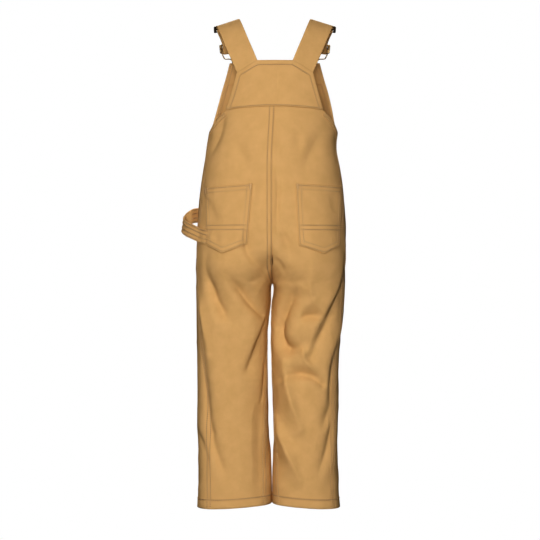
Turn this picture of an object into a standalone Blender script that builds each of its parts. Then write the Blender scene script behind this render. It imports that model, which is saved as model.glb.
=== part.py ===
"""A child's bib overalls in stiff cotton twill, hollow and filled out as if worn, at real size.

Metres, +Z up. The front faces -Y, so the wearer's left is +X. The origin lies between the two
shoulder straps, level with the underside of each strap where it crosses the shoulder.

The cloth is one smooth body form: a torso that divides into two legs. Every sewn piece is a wall
cut from that form, so neighbouring pieces share its curves and meet at seams 0.3 mm wide.
A place on the form is a side (+1 wearer's left, -1 wearer's right), a turn round the section
(0 outermost, +90 degrees at the back, -90 at the front, 180 innermost) and a height.
"""

import math

import bpy
import numpy as np
from mathutils import Vector
from mathutils.geometry import tessellate_polygon

MM = 0.001
LEFT, RIGHT = 1, -1

# Cloth and sewing
CLOTH = 1.4 * MM
GAP = 0.3 * MM
HEM_DEPTH = 15 * MM
HEM_WALL = 2.6 * MM
STRAP_WALL = 2.0 * MM
BINDING_WIDTH = 7 * MM
BINDING_WALL = 0.9 * MM

# Heights of the garment's own landmarks
BIB_TOP = -59 * MM
YOKE_TOP = -68 * MM
WAIST_SEAM = -206 * MM
CROTCH = -430 * MM
HEM = -798 * MM

# The sides are open above this height
OPEN_FROM = -178 * MM

# Where the seat starts to divide into legs, and how late the division deepens
SEAT_TOP = -262 * MM
SEAT_POWER = 2.2
SQUARENESS = 2.3

# The body form in millimetres: a row for each level section. left and right are half widths from
# the lean line, spreads widen the open upper back and front only, back and front are depths, lean
# moves the section sideways, and parting is half the space between the legs.
FORM_COLUMNS = ("z", "left", "right", "back_spread", "front_spread", "back", "front", "lean", "parting")
FORM_MM = (
    (-800, 124.0, 112.0, 0, 0, 48, 49, 0.0, 0.9),
    (-755, 122.8, 109.2, 0, 0, 48, 49, 0.0, 1.4),
    (-710, 122.7, 108.7, 0, 0, 49, 50, 0.0, 3.2),
    (-660, 121.1, 110.7, 0, 0, 50, 51, 1.5, 4.2),
    (-600, 119.6, 113.0, 0, 0, 52, 53, 3.2, 4.0),
    (-550, 119.8, 115.7, 0, 0, 54, 54, 4.2, 3.2),
    (-510, 120.0, 119.5, 0, 0, 57, 56, 4.5, 1.6),
    (-468, 121.5, 121.7, 0, 0, 61, 59, 3.0, 2.0),
    (-442, 124.0, 122.0, 0, 0, 66, 62, 1.0, 1.8),
    (-430, 124.7, 122.0, 0, 0, 69, 64, 0.5, 0.15),
    (-393, 126.2, 122.0, 0, 0, 79, 69, 0.0, 0.0),
    (-349, 124.5, 122.0, 0, 0, 82, 73, 0.0, 0.0),
    (-295, 121.2, 120.0, 0, 0, 78, 76, 0.0, 0.0),
    (-242, 114.5, 112.9, 0, 0, 72, 78, 0.0, 0.0),
    (-203, 108.9, 105.4, 0, 0, 69, 77, -1.0, 0.0),
    (-178, 105.9, 105.9, 0, 0, 67, 76, -2.5, 0.0),
    (-140, 102.0, 102.0, -2, 9, 64, 71, -4.3, 0.0),
    (-95, 98.0, 98.0, 0, 16, 61, 64, -4.8, 0.0),
    (-50, 96.0, 96.0, 2, 20, 60, 57, -4.8, 0.0),
)

# Side seams and inseams in degrees: how far each is turned towards the back from the section's
# outermost and innermost point.
SEAM_COLUMNS = ("z", "side_left", "side_right", "inseam")
SEAM_DEGREES = (
    (-800, 39, 33, 38),
    (-690, 38, 30, 33),
    (-610, 36, 26, 23),
    (-540, 32, 21, 12),
    (-450, 23, 17, 4),
    (-430, 21, 16, 0),
    (-360, 15, 14, 0),
    (-242, 9, 9, 0),
    (-181.5, 4.5, 4.5, 0),
)

# The armhole's edge in millimetres, from the yoke's top corner down round the side and up the bib.
# x is measured from the lean line, and face is +1 on the back and -1 on the front.
ARMHOLE_COLUMNS = ("face", "x", "z")
ARMHOLE_MM = (
    (1, 61.5, -86.5),
    (1, 66.0, -105.0),
    (1, 72.5, -124.0),
    (1, 78.5, -146.5),
    (1, 83.5, -151.5),
    (1, 90.0, -157.5),
    (1, 97.5, -167.0),
    (1, 103.0, -176.0),
    (1, 105.6, -181.5),
    (-1, 104.8, -179.0),
    (-1, 102.0, -166.0),
    (-1, 98.5, -149.0),
    (-1, 94.5, -130.0),
    (-1, 88.5, -106.0),
    (-1, 81.5, -82.0),
    (-1, 75.5, -59.0),
)
YOKE_CORNER = 3
YOKE_FLAT = 29 * MM

# The largest folds. side and turn are as for the form, heights in millimetres. Each fold runs through
# three points; width is its half width and depth its rise, so a trough is negative.
FOLD_COLUMNS = ("side", "turn0", "z0", "turn1", "z1", "turn2", "z2", "width", "depth")
FOLDS = (
    # Back of the left leg, from the seat down
    (1, 43, -401, 62, -428, 75, -463, 8, -3.5),
    (1, 75, -463, 81, -486, 95, -494, 8, -4.5),
    (1, 80, -418, 100, -434, 119, -463, 7, -2.5),
    (1, 119, -463, 130, -474, 140, -480, 6, -2.5),
    (1, 29, -449, 42, -493, 50, -547, 8, -3.5),
    (1, 41, -565, 42, -621, 49, -677, 8, -3.0),
    (1, 49, -677, 61, -710, 75, -752, 9, -2.0),
    (1, 159, -480, 139, -509, 120, -571, 7, -3.0),
    (1, 88, -356, 103, -391, 131, -410, 7, -2.5),
    (1, 130, -643, 132, -710, 137, -776, 10, -1.5),
    # Back of the right leg
    (-1, 100, -364, 111, -392, 119, -408, 6, -2.0),
    (-1, 79, -400, 89, -432, 85, -463, 6, 2.5),
    (-1, 100, -428, 115, -470, 131, -509, 9, -4.0),
    (-1, 131, -509, 117, -524, 94, -525, 8, -3.5),
    (-1, 88, -527, 90, -551, 60, -582, 6, 2.5),
    (-1, 126, -569, 97, -566, 69, -576, 8, -3.5),
    (-1, 66, -489, 72, -519, 88, -545, 7, -3.0),
    (-1, 27, -416, 57, -460, 84, -546, 7, -3.0),
    (-1, 18, -528, 46, -571, 41, -621, 8, -3.0),
    (-1, 41, -621, 49, -640, 69, -680, 8, -2.5),
    (-1, 37, -651, 45, -706, 70, -747, 8, -2.0),
    (-1, 137, -599, 127, -628, 111, -658, 7, -3.0),
    (-1, 152, -664, 136, -711, 109, -752, 7, -2.5),
    # Back above the seat
    (1, 40, -204, 59, -222, 55, -250, 10, -2.5),
    (-1, 66, -197, 66, -222, 67, -250, 7, 1.5),
    (-1, 57, -202, 57, -217, 57, -233, 9, -2.0),
    (-1, 35, -198, 42, -215, 49, -233, 8, -2.0),
    (1, 81, -240, 81, -260, 82, -285, 8, -2.0),
    # Front of both legs, hidden in the photograph
    (1, -62, -452, -84, -478, -112, -490, 9, -3.5),
    (1, -20, -470, -38, -520, -52, -566, 8, -3.0),
    (1, -150, -470, -128, -520, -104, -560, 8, -3.0),
    (1, -70, -590, -88, -612, -120, -618, 9, -2.5),
    (1, -58, -664, -66, -704, -60, -752, 10, -2.0),
    (-1, -66, -446, -92, -480, -118, -500, 9, -3.5),
    (-1, -22, -478, -42, -526, -50, -580, 8, -3.0),
    (-1, -148, -484, -122, -532, -98, -570, 8, -3.0),
    (-1, -74, -604, -94, -622, -126, -622, 9, -2.5),
    (-1, -112, -660, -104, -706, -112, -756, 10, -2.0),
    # Front below the waist and on the bib
    (1, -84, -330, -66, -372, -44, -404, 10, -2.5),
    (-1, -86, -342, -68, -380, -40, -410, 10, -2.5),
    (1, -52, -120, -60, -150, -58, -182, 12, -1.8),
    (-1, -56, -112, -52, -146, -62, -180, 12, -1.8),
)

# How far from the centre line a fold of the other side still shows
SEAM_BLEND = 18 * MM

# Patch pockets on the seat: outer and inner top corners, inner and outer bottom corners, and tip
POCKET_COLUMNS = ("side", "corner", "turn", "z")
POCKETS = (
    (1, "outer_top", 18.0, -274.1),
    (1, "inner_top", 66.9, -268.8),
    (1, "inner_bottom", 81.1, -365.7),
    (1, "tip", 61.2, -380.9),
    (1, "outer_bottom", 36.8, -368.4),
    (-1, "outer_top", 11.6, -271.8),
    (-1, "inner_top", 62.3, -268.7),
    (-1, "inner_bottom", 79.9, -368.3),
    (-1, "tip", 57.0, -381.4),
    (-1, "outer_bottom", 30.9, -368.7),
)
POCKET_LIFT = 0.5 * MM

# The yoke's lower seam: distance from the lean line and height
YOKE_SEAM_MM = ((0, -142.6), (14, -142.4), (30, -143.3), (55, -144.6), (78.5, -146.5))

# A strap's centre line in millimetres, from the yoke over the shoulder to the bib button, x from
# the lean line. drop and sweep tilt its width: how far the outer edge falls and goes back per
# millimetre across.
STRAP_COLUMNS = ("x", "y", "z", "drop", "sweep")
STRAP_MM = (
    (45.4, 56.2, -77.0, 0.59, -0.26),
    (53.3, 52.5, -58.0, 0.54, -0.24),
    (62.6, 43.5, -36.0, 0.47, -0.20),
    (72.0, 27.0, -12.0, 0.38, -0.12),
    (77.5, 6.0, 1.0, 0.32, 0.00),
    (78.5, -14.0, -1.5, 0.28, 0.10),
    (75.5, -32.0, -10.0, 0.20, 0.22),
    (71.0, -43.8, -22.5, 0.19, 0.30),
    (68.9, -48.4, -37.5, 0.165, 0.32),
    (67.1, -51.4, -55.0, 0.165, 0.32),
    (65.5, -54.0, -72.0, 0.165, 0.32),
)
STRAP_WIDTH = 39 * MM
SLIDER_ROW = 5.0
BUCKLE_ROW = 8.0

# How the ribbon threads the slider and the buckle, outwards from the centre line, in millimetres.
# row counts along STRAP_MM, along is a distance past it and out the distance outwards.
THREAD_COLUMNS = ("row", "along", "out")
THREAD = (
    (SLIDER_ROW, -16, 0.0),
    (SLIDER_ROW, -9, -2.1),
    (SLIDER_ROW, -7.6, -2.1),
    (SLIDER_ROW, -2.6, 2.1),
    (SLIDER_ROW, 2.6, 2.1),
    (SLIDER_ROW, 7.6, -2.1),
    (SLIDER_ROW, 11, -2.1),
    (SLIDER_ROW, 18, -1.2),
    (BUCKLE_ROW, -18, -1.2),
    (BUCKLE_ROW, -13, -2.2),
    (BUCKLE_ROW, -10.2, -2.2),
    (BUCKLE_ROW, -3.0, 2.1),
    (BUCKLE_ROW, 0.6, 2.1),
    (BUCKLE_ROW, 2.6, 1.4),
    (BUCKLE_ROW, 3.2, 0.0),
    (BUCKLE_ROW, 2.6, -1.4),
    (BUCKLE_ROW, 0.6, -2.3),
    (BUCKLE_ROW, -4, -3.6),
    (BUCKLE_ROW, -10, -4.6),
    (BUCKLE_ROW, -18, -4.4),
    (SLIDER_ROW, 18, -4.4),
    (SLIDER_ROW, 9, -4.6),
    (SLIDER_ROW, 5, -4.3),
    (SLIDER_ROW, 1, -2.6),
)

# Flat outlines of the brass, across and along the strap, in millimetres; holes follow the outline.
# Half outlines are mirrored across the strap's centre line.
PLATE = 1.4 * MM
SLIDER_HALVES = (
    ((0, -11.4), (22.6, -11.4), (24.2, -9.8), (24.2, 9.8), (22.6, 11.4), (0, 11.4)),
    ((0, -8.8), (21.4, -8.8), (21.4, -1.5), (0, -1.5)),
    ((0, 1.5), (21.4, 1.5), (21.4, 8.8), (0, 8.8)),
)
BUCKLE_HALVES = (
    (
        (0, -13.0), (23.6, -13.0), (25.0, -11.6), (25.0, 0.8), (23.6, 2.2), (21.8, 2.6),
        (21.6, 5.4), (19.4, 10.8), (17.6, 12.6), (8.2, 13.9), (5.6, 16.4), (5.3, 20.0),
        (5.3, 34.5), (4.6, 37.3), (2.7, 39.4), (0, 40.2),
    ),
    ((0, -10.6), (20.1, -10.6), (20.1, -1.4), (0, -1.4)),
    (
        (0, 1.4), (20.1, 1.4), (19.9, 5.0), (17.9, 9.8), (16.6, 11.0), (7.4, 12.3), (3.9, 15.8),
        (3.6, 20.0), (3.6, 34.5), (3.1, 36.4), (1.8, 37.9), (0, 38.5),
    ),
)

# Bib button: distance out from the bib and radius, in millimetres
BUTTON_AT = (64.5 * MM, -72 * MM)
BUTTON_PROFILE = ((0.4, 4.2), (1.0, 4.2), (1.2, 2.4), (5.0, 2.4), (5.3, 7.6), (6.1, 8.2), (7.0, 7.4), (7.6, 4.5))
BUTTON_STEPS = 20

# The hip loop: where its ends leave the cloth, and its free path between, in millimetres
LOOP_COLUMNS = ("x", "y", "z")
LOOP_START = (28.0, -354.0)
LOOP_MM = ((118, 43.5, -351), (130, 35.5, -345.5), (142, 24.5, -339.5), (147.4, 13, -335), (143.5, 3, -330), (134, -3.5, -325))
LOOP_END = (-3.0, -320.5)
LOOP_WIDTH = 24.5 * MM
LOOP_WALL = 2.0 * MM

# Grids
LEG_ROWS = 21
CROTCH_ROWS_MM = (-438, -430, -427.5, -423, -416, -407, -397)
SEAT_ROWS = 14
TOP_BLEND = -190 * MM
TOP_ROWS = 5
BACK_COLUMNS = 11
FRONT_COLUMNS = 14
BIB_ROWS_MM = (-205.85, -198, -190, -181.5, -175, -168, -161, -152, -142, -130, -118, -106, -97, -88, -78, -68, -59)
BIB_HALF_COLUMNS = 8
FACING_FROM = -97

MATERIALS = {
    "twill": ((0.53, 0.33, 0.135, 1), 0.85, 0.0),
    "brass": ((0.43, 0.31, 0.12, 1), 0.35, 1.0),
}


def smooth(x, xs, ys):
    """A smooth curve through the points (xs, ys), with xs rising, read at x."""
    xs, ys = np.asarray(xs, float), np.asarray(ys, float)
    slope = np.gradient(ys, xs)
    i = np.clip(np.searchsorted(xs, x) - 1, 0, len(xs) - 2)
    step = xs[i + 1] - xs[i]
    t = np.clip((x - xs[i]) / step, 0, 1)
    rise = t * t * (3 - 2 * t)
    return (
        ys[i] * (1 - rise)
        + ys[i + 1] * rise
        + step * (slope[i] * t * (1 - t) ** 2 - slope[i + 1] * t * t * (1 - t))
    )


def column(table, names, name, unit):
    """One named column of a table, in metres or radians."""
    return np.array([row[names.index(name)] for row in table], float) * unit


FORM = {name: column(FORM_MM, FORM_COLUMNS, name, MM) for name in FORM_COLUMNS}
SEAM_HEIGHTS = column(SEAM_DEGREES, SEAM_COLUMNS, "z", MM)


def form(name, z):
    return smooth(z, FORM["z"], FORM[name])


def seam_turn(name, z):
    degrees = column(SEAM_DEGREES, SEAM_COLUMNS, name, 1)
    return np.radians(np.interp(z, SEAM_HEIGHTS, degrees))


def division(z):
    """0 on the torso, rising to 1 at the crotch and all down the legs."""
    drawn = np.clip((SEAT_TOP - z) / (SEAT_TOP - CROTCH), 0, 1) ** SEAT_POWER
    return drawn * drawn * (3 - 2 * drawn)


def section(side, z, face):
    """Centre, half width and depth of the half section on one side of the lean line."""
    half = form("left" if side == LEFT else "right", z)
    spread = np.where(face > 0, form("back_spread", z), form("front_spread", z))
    half = half + np.where(z > OPEN_FROM, spread, 0)
    parting = np.maximum(form("parting", z), 0)
    share = division(z)
    radius = (half - parting) / (1 + share)
    depth = np.where(face > 0, form("back", z), form("front", z))
    return parting + share * radius, radius, depth


def base_point(side, turn, z):
    """The form without folds: a rounded-square section, its two halves drawn apart into legs."""
    turn, z = np.broadcast_arrays(np.asarray(turn, float), np.asarray(z, float))
    face = np.where(np.sin(turn) >= 0, 1, -1)
    centre, radius, depth = section(side, z, face)
    across, along = np.cos(turn), np.sin(turn)
    reach = (np.abs(across / radius) ** SQUARENESS + np.abs(along / depth) ** SQUARENESS) ** (
        -1 / SQUARENESS
    )
    x = form("lean", z) + side * (centre + reach * across)
    return np.stack([x, reach * along, z], axis=-1)


def turn_at(side, x, z, face):
    """The turn at which the section lies x from the lean line, on the back or the front."""
    centre, radius, depth = section(side, z, np.asarray(face))
    offset = np.clip(x - centre, -radius, radius)
    y = depth * np.maximum(1 - np.abs(offset / radius) ** SQUARENESS, 0) ** (1 / SQUARENESS)
    return np.arctan2(face * y, offset)


def unit(v):
    return v / np.maximum(np.linalg.norm(v, axis=-1, keepdims=True), 1e-12)


def normal_of(point, side, turn, z):
    """Outward normal, from the differences of a surface function over a small step."""
    step = 1e-4
    along_turn = point(side, turn + 10 * step, z) - point(side, turn - 10 * step, z)
    along_z = point(side, turn, z + step) - point(side, turn, z - step)
    return unit(np.cross(along_turn, along_z)) * side


def wrapped(angle):
    return (angle + np.pi) % (2 * np.pi) - np.pi


def fold_path(row):
    """Points along one fold: turn and height, through the three given points."""
    t = np.linspace(0, 1, 9)
    shape = np.stack([(1 - t) * (1 - 2 * t), 4 * t * (1 - t), t * (2 * t - 1)])
    value = dict(zip(FOLD_COLUMNS, row))
    turn = np.radians([value["turn0"], value["turn1"], value["turn2"]]) @ shape
    z = np.array([value["z0"], value["z1"], value["z2"]]) * MM @ shape
    return turn, z


def folds_lift(side, turn, z, rows):
    """Sum of the listed folds of one side at these places: soft bell-shaped troughs and ridges."""
    total = np.zeros(np.shape(turn))
    for row in rows:
        value = dict(zip(FOLD_COLUMNS, row))
        if value["side"] != side:
            continue
        path_turn, path_z = fold_path(row)
        near = np.full(np.shape(turn), np.inf)
        _, radius, depth = section(side, z, np.sign(path_turn[4]))
        scale = (radius + depth) / 2
        for i in range(len(path_turn) - 1):
            ax, ay = scale * wrapped(turn - path_turn[i]), z - path_z[i]
            bx, by = scale * (path_turn[i + 1] - path_turn[i]), path_z[i + 1] - path_z[i]
            share = np.clip((ax * bx + ay * by) / (bx * bx + by * by + 1e-12), 0, 1)
            near = np.minimum(near, np.hypot(ax - share * bx, ay - share * by))
        total += value["depth"] * MM * np.exp(-((near / (value["width"] * MM)) ** 2))
    return total


def lift_at(side, turn, z, rows=FOLDS):
    """Folds of this side, and above the crotch the other side's where they cross the centre line."""
    own = folds_lift(side, turn, z, rows)
    face = np.where(np.sin(turn) >= 0, 1, -1)
    centre = turn_at(side, 0.0, z, face)
    near = np.exp(-(((centre - turn) * form("back", z) / SEAM_BLEND) ** 2))
    crossing = folds_lift(-side, 2 * centre - turn, z, rows)
    return own + np.where(z > CROTCH, near * crossing, 0)


def surface(side, turn, z):
    """The cloth's outer face, folds included."""
    turn, z = np.broadcast_arrays(np.asarray(turn, float), np.asarray(z, float))
    out = lift_at(side, turn, z)[..., None] * normal_of(base_point, side, turn, z)
    return base_point(side, turn, z) + out


def lifted(side, turn, z, lift):
    """The outer face moved out by lift, or in where lift is negative."""
    turn, z = np.broadcast_arrays(np.asarray(turn, float), np.asarray(z, float))
    lift = np.asarray(lift, float)
    return surface(side, turn, z) + normal_of(surface, side, turn, z) * lift[..., None]


def side_seam(side, z):
    return seam_turn("side_left" if side == LEFT else "side_right", z)


def seam_gap(side, z):
    """Half the gap at a seam, as a turn."""
    return GAP / 2 / section(side, z, np.asarray(1))[1]


def inner_edge(side, z, face):
    """Turn of the centre seam above the crotch and of the inseam below it."""
    inseam = face * (np.pi - seam_gap(side, z)) - seam_turn("inseam", z)
    centre = turn_at(side, GAP / 2, z, face)
    return np.where(z > CROTCH, face * np.minimum(face * centre, face * inseam), inseam)


def armhole_turn(side, z, face):
    rows = sorted((row[2] * MM, row[1] * MM) for row in ARMHOLE_MM if row[0] == face)
    x = smooth(z, [row[0] for row in rows], [row[1] for row in rows])
    return turn_at(side, x, z, face)


def yoke_seam(x):
    rows = np.array(YOKE_SEAM_MM) * MM
    return smooth(np.abs(x), rows[:, 0], rows[:, 1])


def yoke_top(x):
    """The yoke's top edge: level between the straps, sloping along their sewn ends."""
    first = column(STRAP_MM, STRAP_COLUMNS, "x", MM)[0], column(STRAP_MM, STRAP_COLUMNS, "z", MM)[0]
    slope = STRAP_MM[0][STRAP_COLUMNS.index("drop")]
    sloping = first[1] - 0.6 * MM - slope * (np.abs(x) - first[0])
    return np.minimum(sloping, YOKE_TOP)


# Building solids


def add_object(name, points, faces, material):
    """One closed body from points and triangles, turned to face outwards."""
    points, faces = np.asarray(points, float), np.asarray(faces, int)
    a, b, c = (points[faces[:, i]] for i in range(3))
    if np.einsum("ij,ij->i", a, np.cross(b, c)).sum() < 0:
        faces = faces[:, ::-1]
    mesh = bpy.data.meshes.new(name)
    mesh.from_pydata(points.tolist(), [], faces.tolist())
    mesh.materials.append(bpy.data.materials[material])
    obj = bpy.data.objects.new(name, mesh)
    bpy.context.scene.collection.objects.link(obj)
    return obj


def quads(grid):
    """Triangles of a grid of point numbers."""
    a, b, c, d = grid[:-1, :-1], grid[:-1, 1:], grid[1:, 1:], grid[1:, :-1]
    first = np.stack([a, b, c], axis=-1).reshape(-1, 3)
    second = np.stack([a, c, d], axis=-1).reshape(-1, 3)
    return np.concatenate([first, second])


def slab(name, outer, inner, material="twill"):
    """A wall between two grids of points of the same shape."""
    rows, columns = outer.shape[:2]
    index = np.arange(rows * columns).reshape(rows, columns)
    behind = index + rows * columns
    rim = np.concatenate([index[0, :-1], index[:-1, -1], index[-1, :0:-1], index[:0:-1, 0]])
    ahead = np.roll(rim, -1)
    off = rows * columns
    faces = np.concatenate([
        quads(index),
        quads(behind)[:, ::-1],
        np.stack([ahead, rim, rim + off], axis=-1),
        np.stack([ahead, rim + off, ahead + off], axis=-1),
    ])
    points = np.concatenate([outer.reshape(-1, 3), inner.reshape(-1, 3)])
    return add_object(name, points, faces, material)


def wall(name, side, turn, z, outside=0.0, inside=-CLOTH, material="twill"):
    """A wall of cloth on the form, over a grid of turns and heights."""
    return slab(name, lifted(side, turn, z, outside), lifted(side, turn, z, inside), material)


def panel_heights(top):
    legs = np.linspace(HEM + HEM_DEPTH + 0.6 * MM, -446 * MM, LEG_ROWS)
    seat = np.linspace(-386 * MM, top, SEAT_ROWS)
    return np.concatenate([[HEM, HEM + HEM_DEPTH], legs, np.array(CROTCH_ROWS_MM) * MM, seat])


def hem_lift(z):
    return np.where(z <= HEM + HEM_DEPTH, -HEM_WALL, -CLOTH)


def seam_places(side):
    """Turns and heights of the yoke's lower seam, from the armhole to the centre back."""
    corner_z = ARMHOLE_MM[YOKE_CORNER][2] * MM - GAP
    outer = armhole_turn(side, corner_z, 1) + seam_gap(side, corner_z)
    inner = inner_edge(side, yoke_seam(0.0), 1)
    turn = np.linspace(outer, inner, BACK_COLUMNS)
    x = ARMHOLE_MM[YOKE_CORNER][1] * MM * np.linspace(1, 0, BACK_COLUMNS)
    for _ in range(3):
        x = np.abs(base_point(side, turn, yoke_seam(x))[:, 0] - form("lean", yoke_seam(x)))
    return turn, yoke_seam(x)


def back_panel(name, side):
    """Back of one side from the hem to the yoke, its top edge curving round the armhole."""
    share = np.linspace(0, 1, BACK_COLUMNS)
    low = panel_heights(TOP_BLEND)
    top_share = np.linspace(0, 1, TOP_ROWS + 1)[1:, None]
    _, top = seam_places(side)
    z_top = TOP_BLEND + top_share * (top[None, :] - GAP / 2 - TOP_BLEND)
    z = np.concatenate([np.repeat(low[:, None], BACK_COLUMNS, 1), z_top])
    z_outer, z_inner = z[:, 0], z[:, -1]
    armhole = armhole_turn(side, z_outer, 1)
    below = z_outer < ARMHOLE_MM[YOKE_CORNER + 5][2] * MM
    outer = np.where(below, side_seam(side, z_outer), armhole) + seam_gap(side, z_outer)
    inner = inner_edge(side, z_inner, 1)
    turn = outer[:, None] + share[None, :] * (inner - outer)[:, None]
    turn[-1] = seam_places(side)[0]
    return wall(name, side, turn, z, 0.0, hem_lift(z))


def front_panel(name, side):
    share = np.linspace(0, 1, FRONT_COLUMNS)
    heights = panel_heights(WAIST_SEAM - GAP / 2)
    outer = side_seam(side, heights) - seam_gap(side, heights)
    inner = inner_edge(side, heights, -1)
    turn = outer[:, None] + share[None, :] * (inner - outer)[:, None]
    z = np.repeat(heights[:, None], FRONT_COLUMNS, 1)
    return wall(name, side, turn, z, 0.0, hem_lift(z))


def bib_points(heights, lift):
    """The front from armhole to armhole at these heights, moved out by lift."""
    share = np.linspace(0, 1, BIB_HALF_COLUMNS + 1)
    halves = []
    for side in (RIGHT, LEFT):
        low = heights <= ARMHOLE_MM[YOKE_CORNER + 5][2] * MM
        outer = np.where(low, side_seam(side, heights), armhole_turn(side, heights, -1))
        outer = outer - np.where(low, seam_gap(side, heights), 0)
        turn = -np.pi / 2 + share[None, :] * (outer + np.pi / 2)[:, None]
        z = np.repeat(heights[:, None], len(share), 1)
        halves.append(lifted(side, turn, z, lift))
    return np.concatenate([halves[0][:, :0:-1], halves[1]], axis=1)


def front_bib():
    heights = np.array(BIB_ROWS_MM) * MM
    slab("front_bib", bib_points(heights, 0.0), bib_points(heights, -CLOTH))
    inside = heights[np.array(BIB_ROWS_MM) >= FACING_FROM]
    outer = bib_points(inside, -CLOTH - GAP)
    inner = bib_points(inside, -2 * CLOTH - GAP)
    slab("bib_facing", outer[:, 1:-1], inner[:, 1:-1])


def yoke_half(side, lift):
    turn, seam = seam_places(side)
    turn, seam = turn[::-1], seam[::-1] + GAP / 2
    turn = np.concatenate([[np.pi / 2], turn[1:]])
    bottom_x = np.abs(base_point(side, turn, seam)[:, 0] - form("lean", seam))
    corner = np.argmin(np.abs(bottom_x / bottom_x[-1] - YOKE_FLAT / (ARMHOLE_MM[0][1] * MM)))
    knots = [0, bottom_x[corner], bottom_x[-1]]
    top_x = np.interp(bottom_x, knots, [0, YOKE_FLAT, ARMHOLE_MM[0][1] * MM])
    up = np.linspace(0, 1, 9)[:, None]
    x = bottom_x * (1 - up) + top_x * up
    z = seam * (1 - up) + yoke_top(top_x) * up
    turns = turn_at(side, x, z, 1)
    turns[0] = turn
    return lifted(side, turns, z, lift)


def back_yoke():
    """The yoke between the armholes, from its lower seam to its edges at the straps."""
    grids = []
    for lift in (0.4 * MM, 0.4 * MM - CLOTH):
        right, left = yoke_half(RIGHT, lift), yoke_half(LEFT, lift)
        grids.append(np.concatenate([right[:, :0:-1], left], axis=1))
    slab("back_yoke", *grids)


def pocket(name, side):
    """A patch with straight sides as seen from behind, and a pointed foot."""
    corner = {}
    for _, key, degrees, height in (row for row in POCKETS if row[0] == side):
        z = height * MM
        corner[key] = abs(base_point(side, math.radians(degrees), z)[0] - form("lean", z)), z
    across = np.linspace(0, 1, 11)
    down = np.linspace(0, 1, 12)[:, None]
    keys = ("outer_bottom", "tip", "inner_bottom")
    top = [np.interp(across, [0, 1], [corner["outer_top"][k], corner["inner_top"][k]]) for k in (0, 1)]
    foot = [np.interp(across, [0, 0.5, 1], [corner[key][k] for key in keys]) for k in (0, 1)]
    x = top[0] * (1 - down) + foot[0] * down
    z = top[1] * (1 - down) + foot[1] * down
    wall(name, side, turn_at(side, x, z, 1), z, POCKET_LIFT + CLOTH, POCKET_LIFT)


def binding(name, side):
    """A strip along the armhole's edge, from the yoke round the side to the top of the bib."""
    corner_z = ARMHOLE_MM[YOKE_CORNER][2] * MM
    back = np.linspace(corner_z - 6 * MM, -180.5 * MM, 9)
    front = np.linspace(-178 * MM, BIB_TOP - 0.5 * MM, 20)
    turn = np.concatenate([armhole_turn(side, back, 1), armhole_turn(side, front, -1)])
    z = np.concatenate([back, front])
    edge = surface(side, turn, z)
    tangent = unit(np.gradient(edge, axis=0))
    inward = np.cross(tangent, normal_of(surface, side, turn, z)) * side
    step = 1e-4
    by_turn = (surface(side, turn + step, z) - surface(side, turn - step, z)) / (2 * step)
    by_z = (surface(side, turn, z + step) - surface(side, turn, z - step)) / (2 * step)
    metric = np.stack([by_turn, by_z], axis=-1)
    move = np.einsum("nij,nj->ni", np.linalg.pinv(metric), inward)
    offset = np.array([0.2, 3.6, 7.0])[:, None] / 7.0 * BINDING_WIDTH
    turns = turn + offset * move[:, 0]
    heights = z + offset * move[:, 1]
    wall(name, side, turns, heights, POCKET_LIFT + BINDING_WALL, POCKET_LIFT)


# Straps and brass


def strap_course(side):
    """The strap's centre line as a function of distance, with its width and outward directions."""
    rows = {name: column(STRAP_MM, STRAP_COLUMNS, name, 1) for name in STRAP_COLUMNS}
    points = np.stack([rows["x"], rows["y"], rows["z"]], axis=-1) * MM
    length = np.concatenate([[0], np.cumsum(np.linalg.norm(np.diff(points, axis=0), axis=1))])

    def at(distance):
        distance = np.asarray(distance, float)
        x, y, z, drop, sweep = (
            smooth(distance, length, values)
            for values in (points[:, 0], points[:, 1], points[:, 2], rows["drop"], rows["sweep"])
        )
        centre = np.stack([form("lean", z) + side * x, y, z], axis=-1)
        width = unit(np.stack([side * np.ones_like(x), sweep, -drop], axis=-1))
        return centre, width

    def frame(distance):
        step = 0.5 * MM
        low = np.clip(distance - step, 0, length[-1])
        high = np.clip(distance + step, 0, length[-1])
        centre, width = at(distance)
        forward = at(high)[0] - at(low)[0]
        forward = unit(forward - (forward * width).sum(-1, keepdims=True) * width)
        out = unit(np.cross(forward, width)) * side
        return centre, width, forward, out

    return length, frame


def strap(name, side):
    """One ribbon: over the shoulder, through the slider, round the buckle's bar and back up."""
    length, frame = strap_course(side)
    start = np.interp(SLIDER_ROW, range(len(length)), length) - 16 * MM
    plain = [(d, 0.0) for d in np.linspace(0, start, 16)[:-1]]
    thread = []
    for row in THREAD:
        value = dict(zip(THREAD_COLUMNS, row))
        distance = np.interp(value["row"], range(len(length)), length) + value["along"] * MM
        thread.append((distance, value["out"] * MM))
    distance, offset = np.array(plain + thread).T
    centre, width, forward, out = frame(distance)
    path = centre + out * offset[:, None]
    along = unit(np.gradient(path, axis=0))
    ahead = unit(np.diff(path, axis=0))
    along[0], along[-1] = ahead[0], ahead[-1]
    along[1:-1] = unit(ahead[:-1] + ahead[1:])
    normal = unit(np.cross(along, width)) * side
    across = np.linspace(-0.5, 0.5, 4)[:, None, None] * STRAP_WIDTH
    spread = path + across * width
    half = STRAP_WALL / 2
    slab(name, spread + normal * half, spread - normal * half)


def mirrored(half_outline):
    """A whole outline from its half at or beyond the centre line."""
    back = [(-x, y) for x, y in reversed(half_outline) if x > 0]
    return list(half_outline) + back


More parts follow.
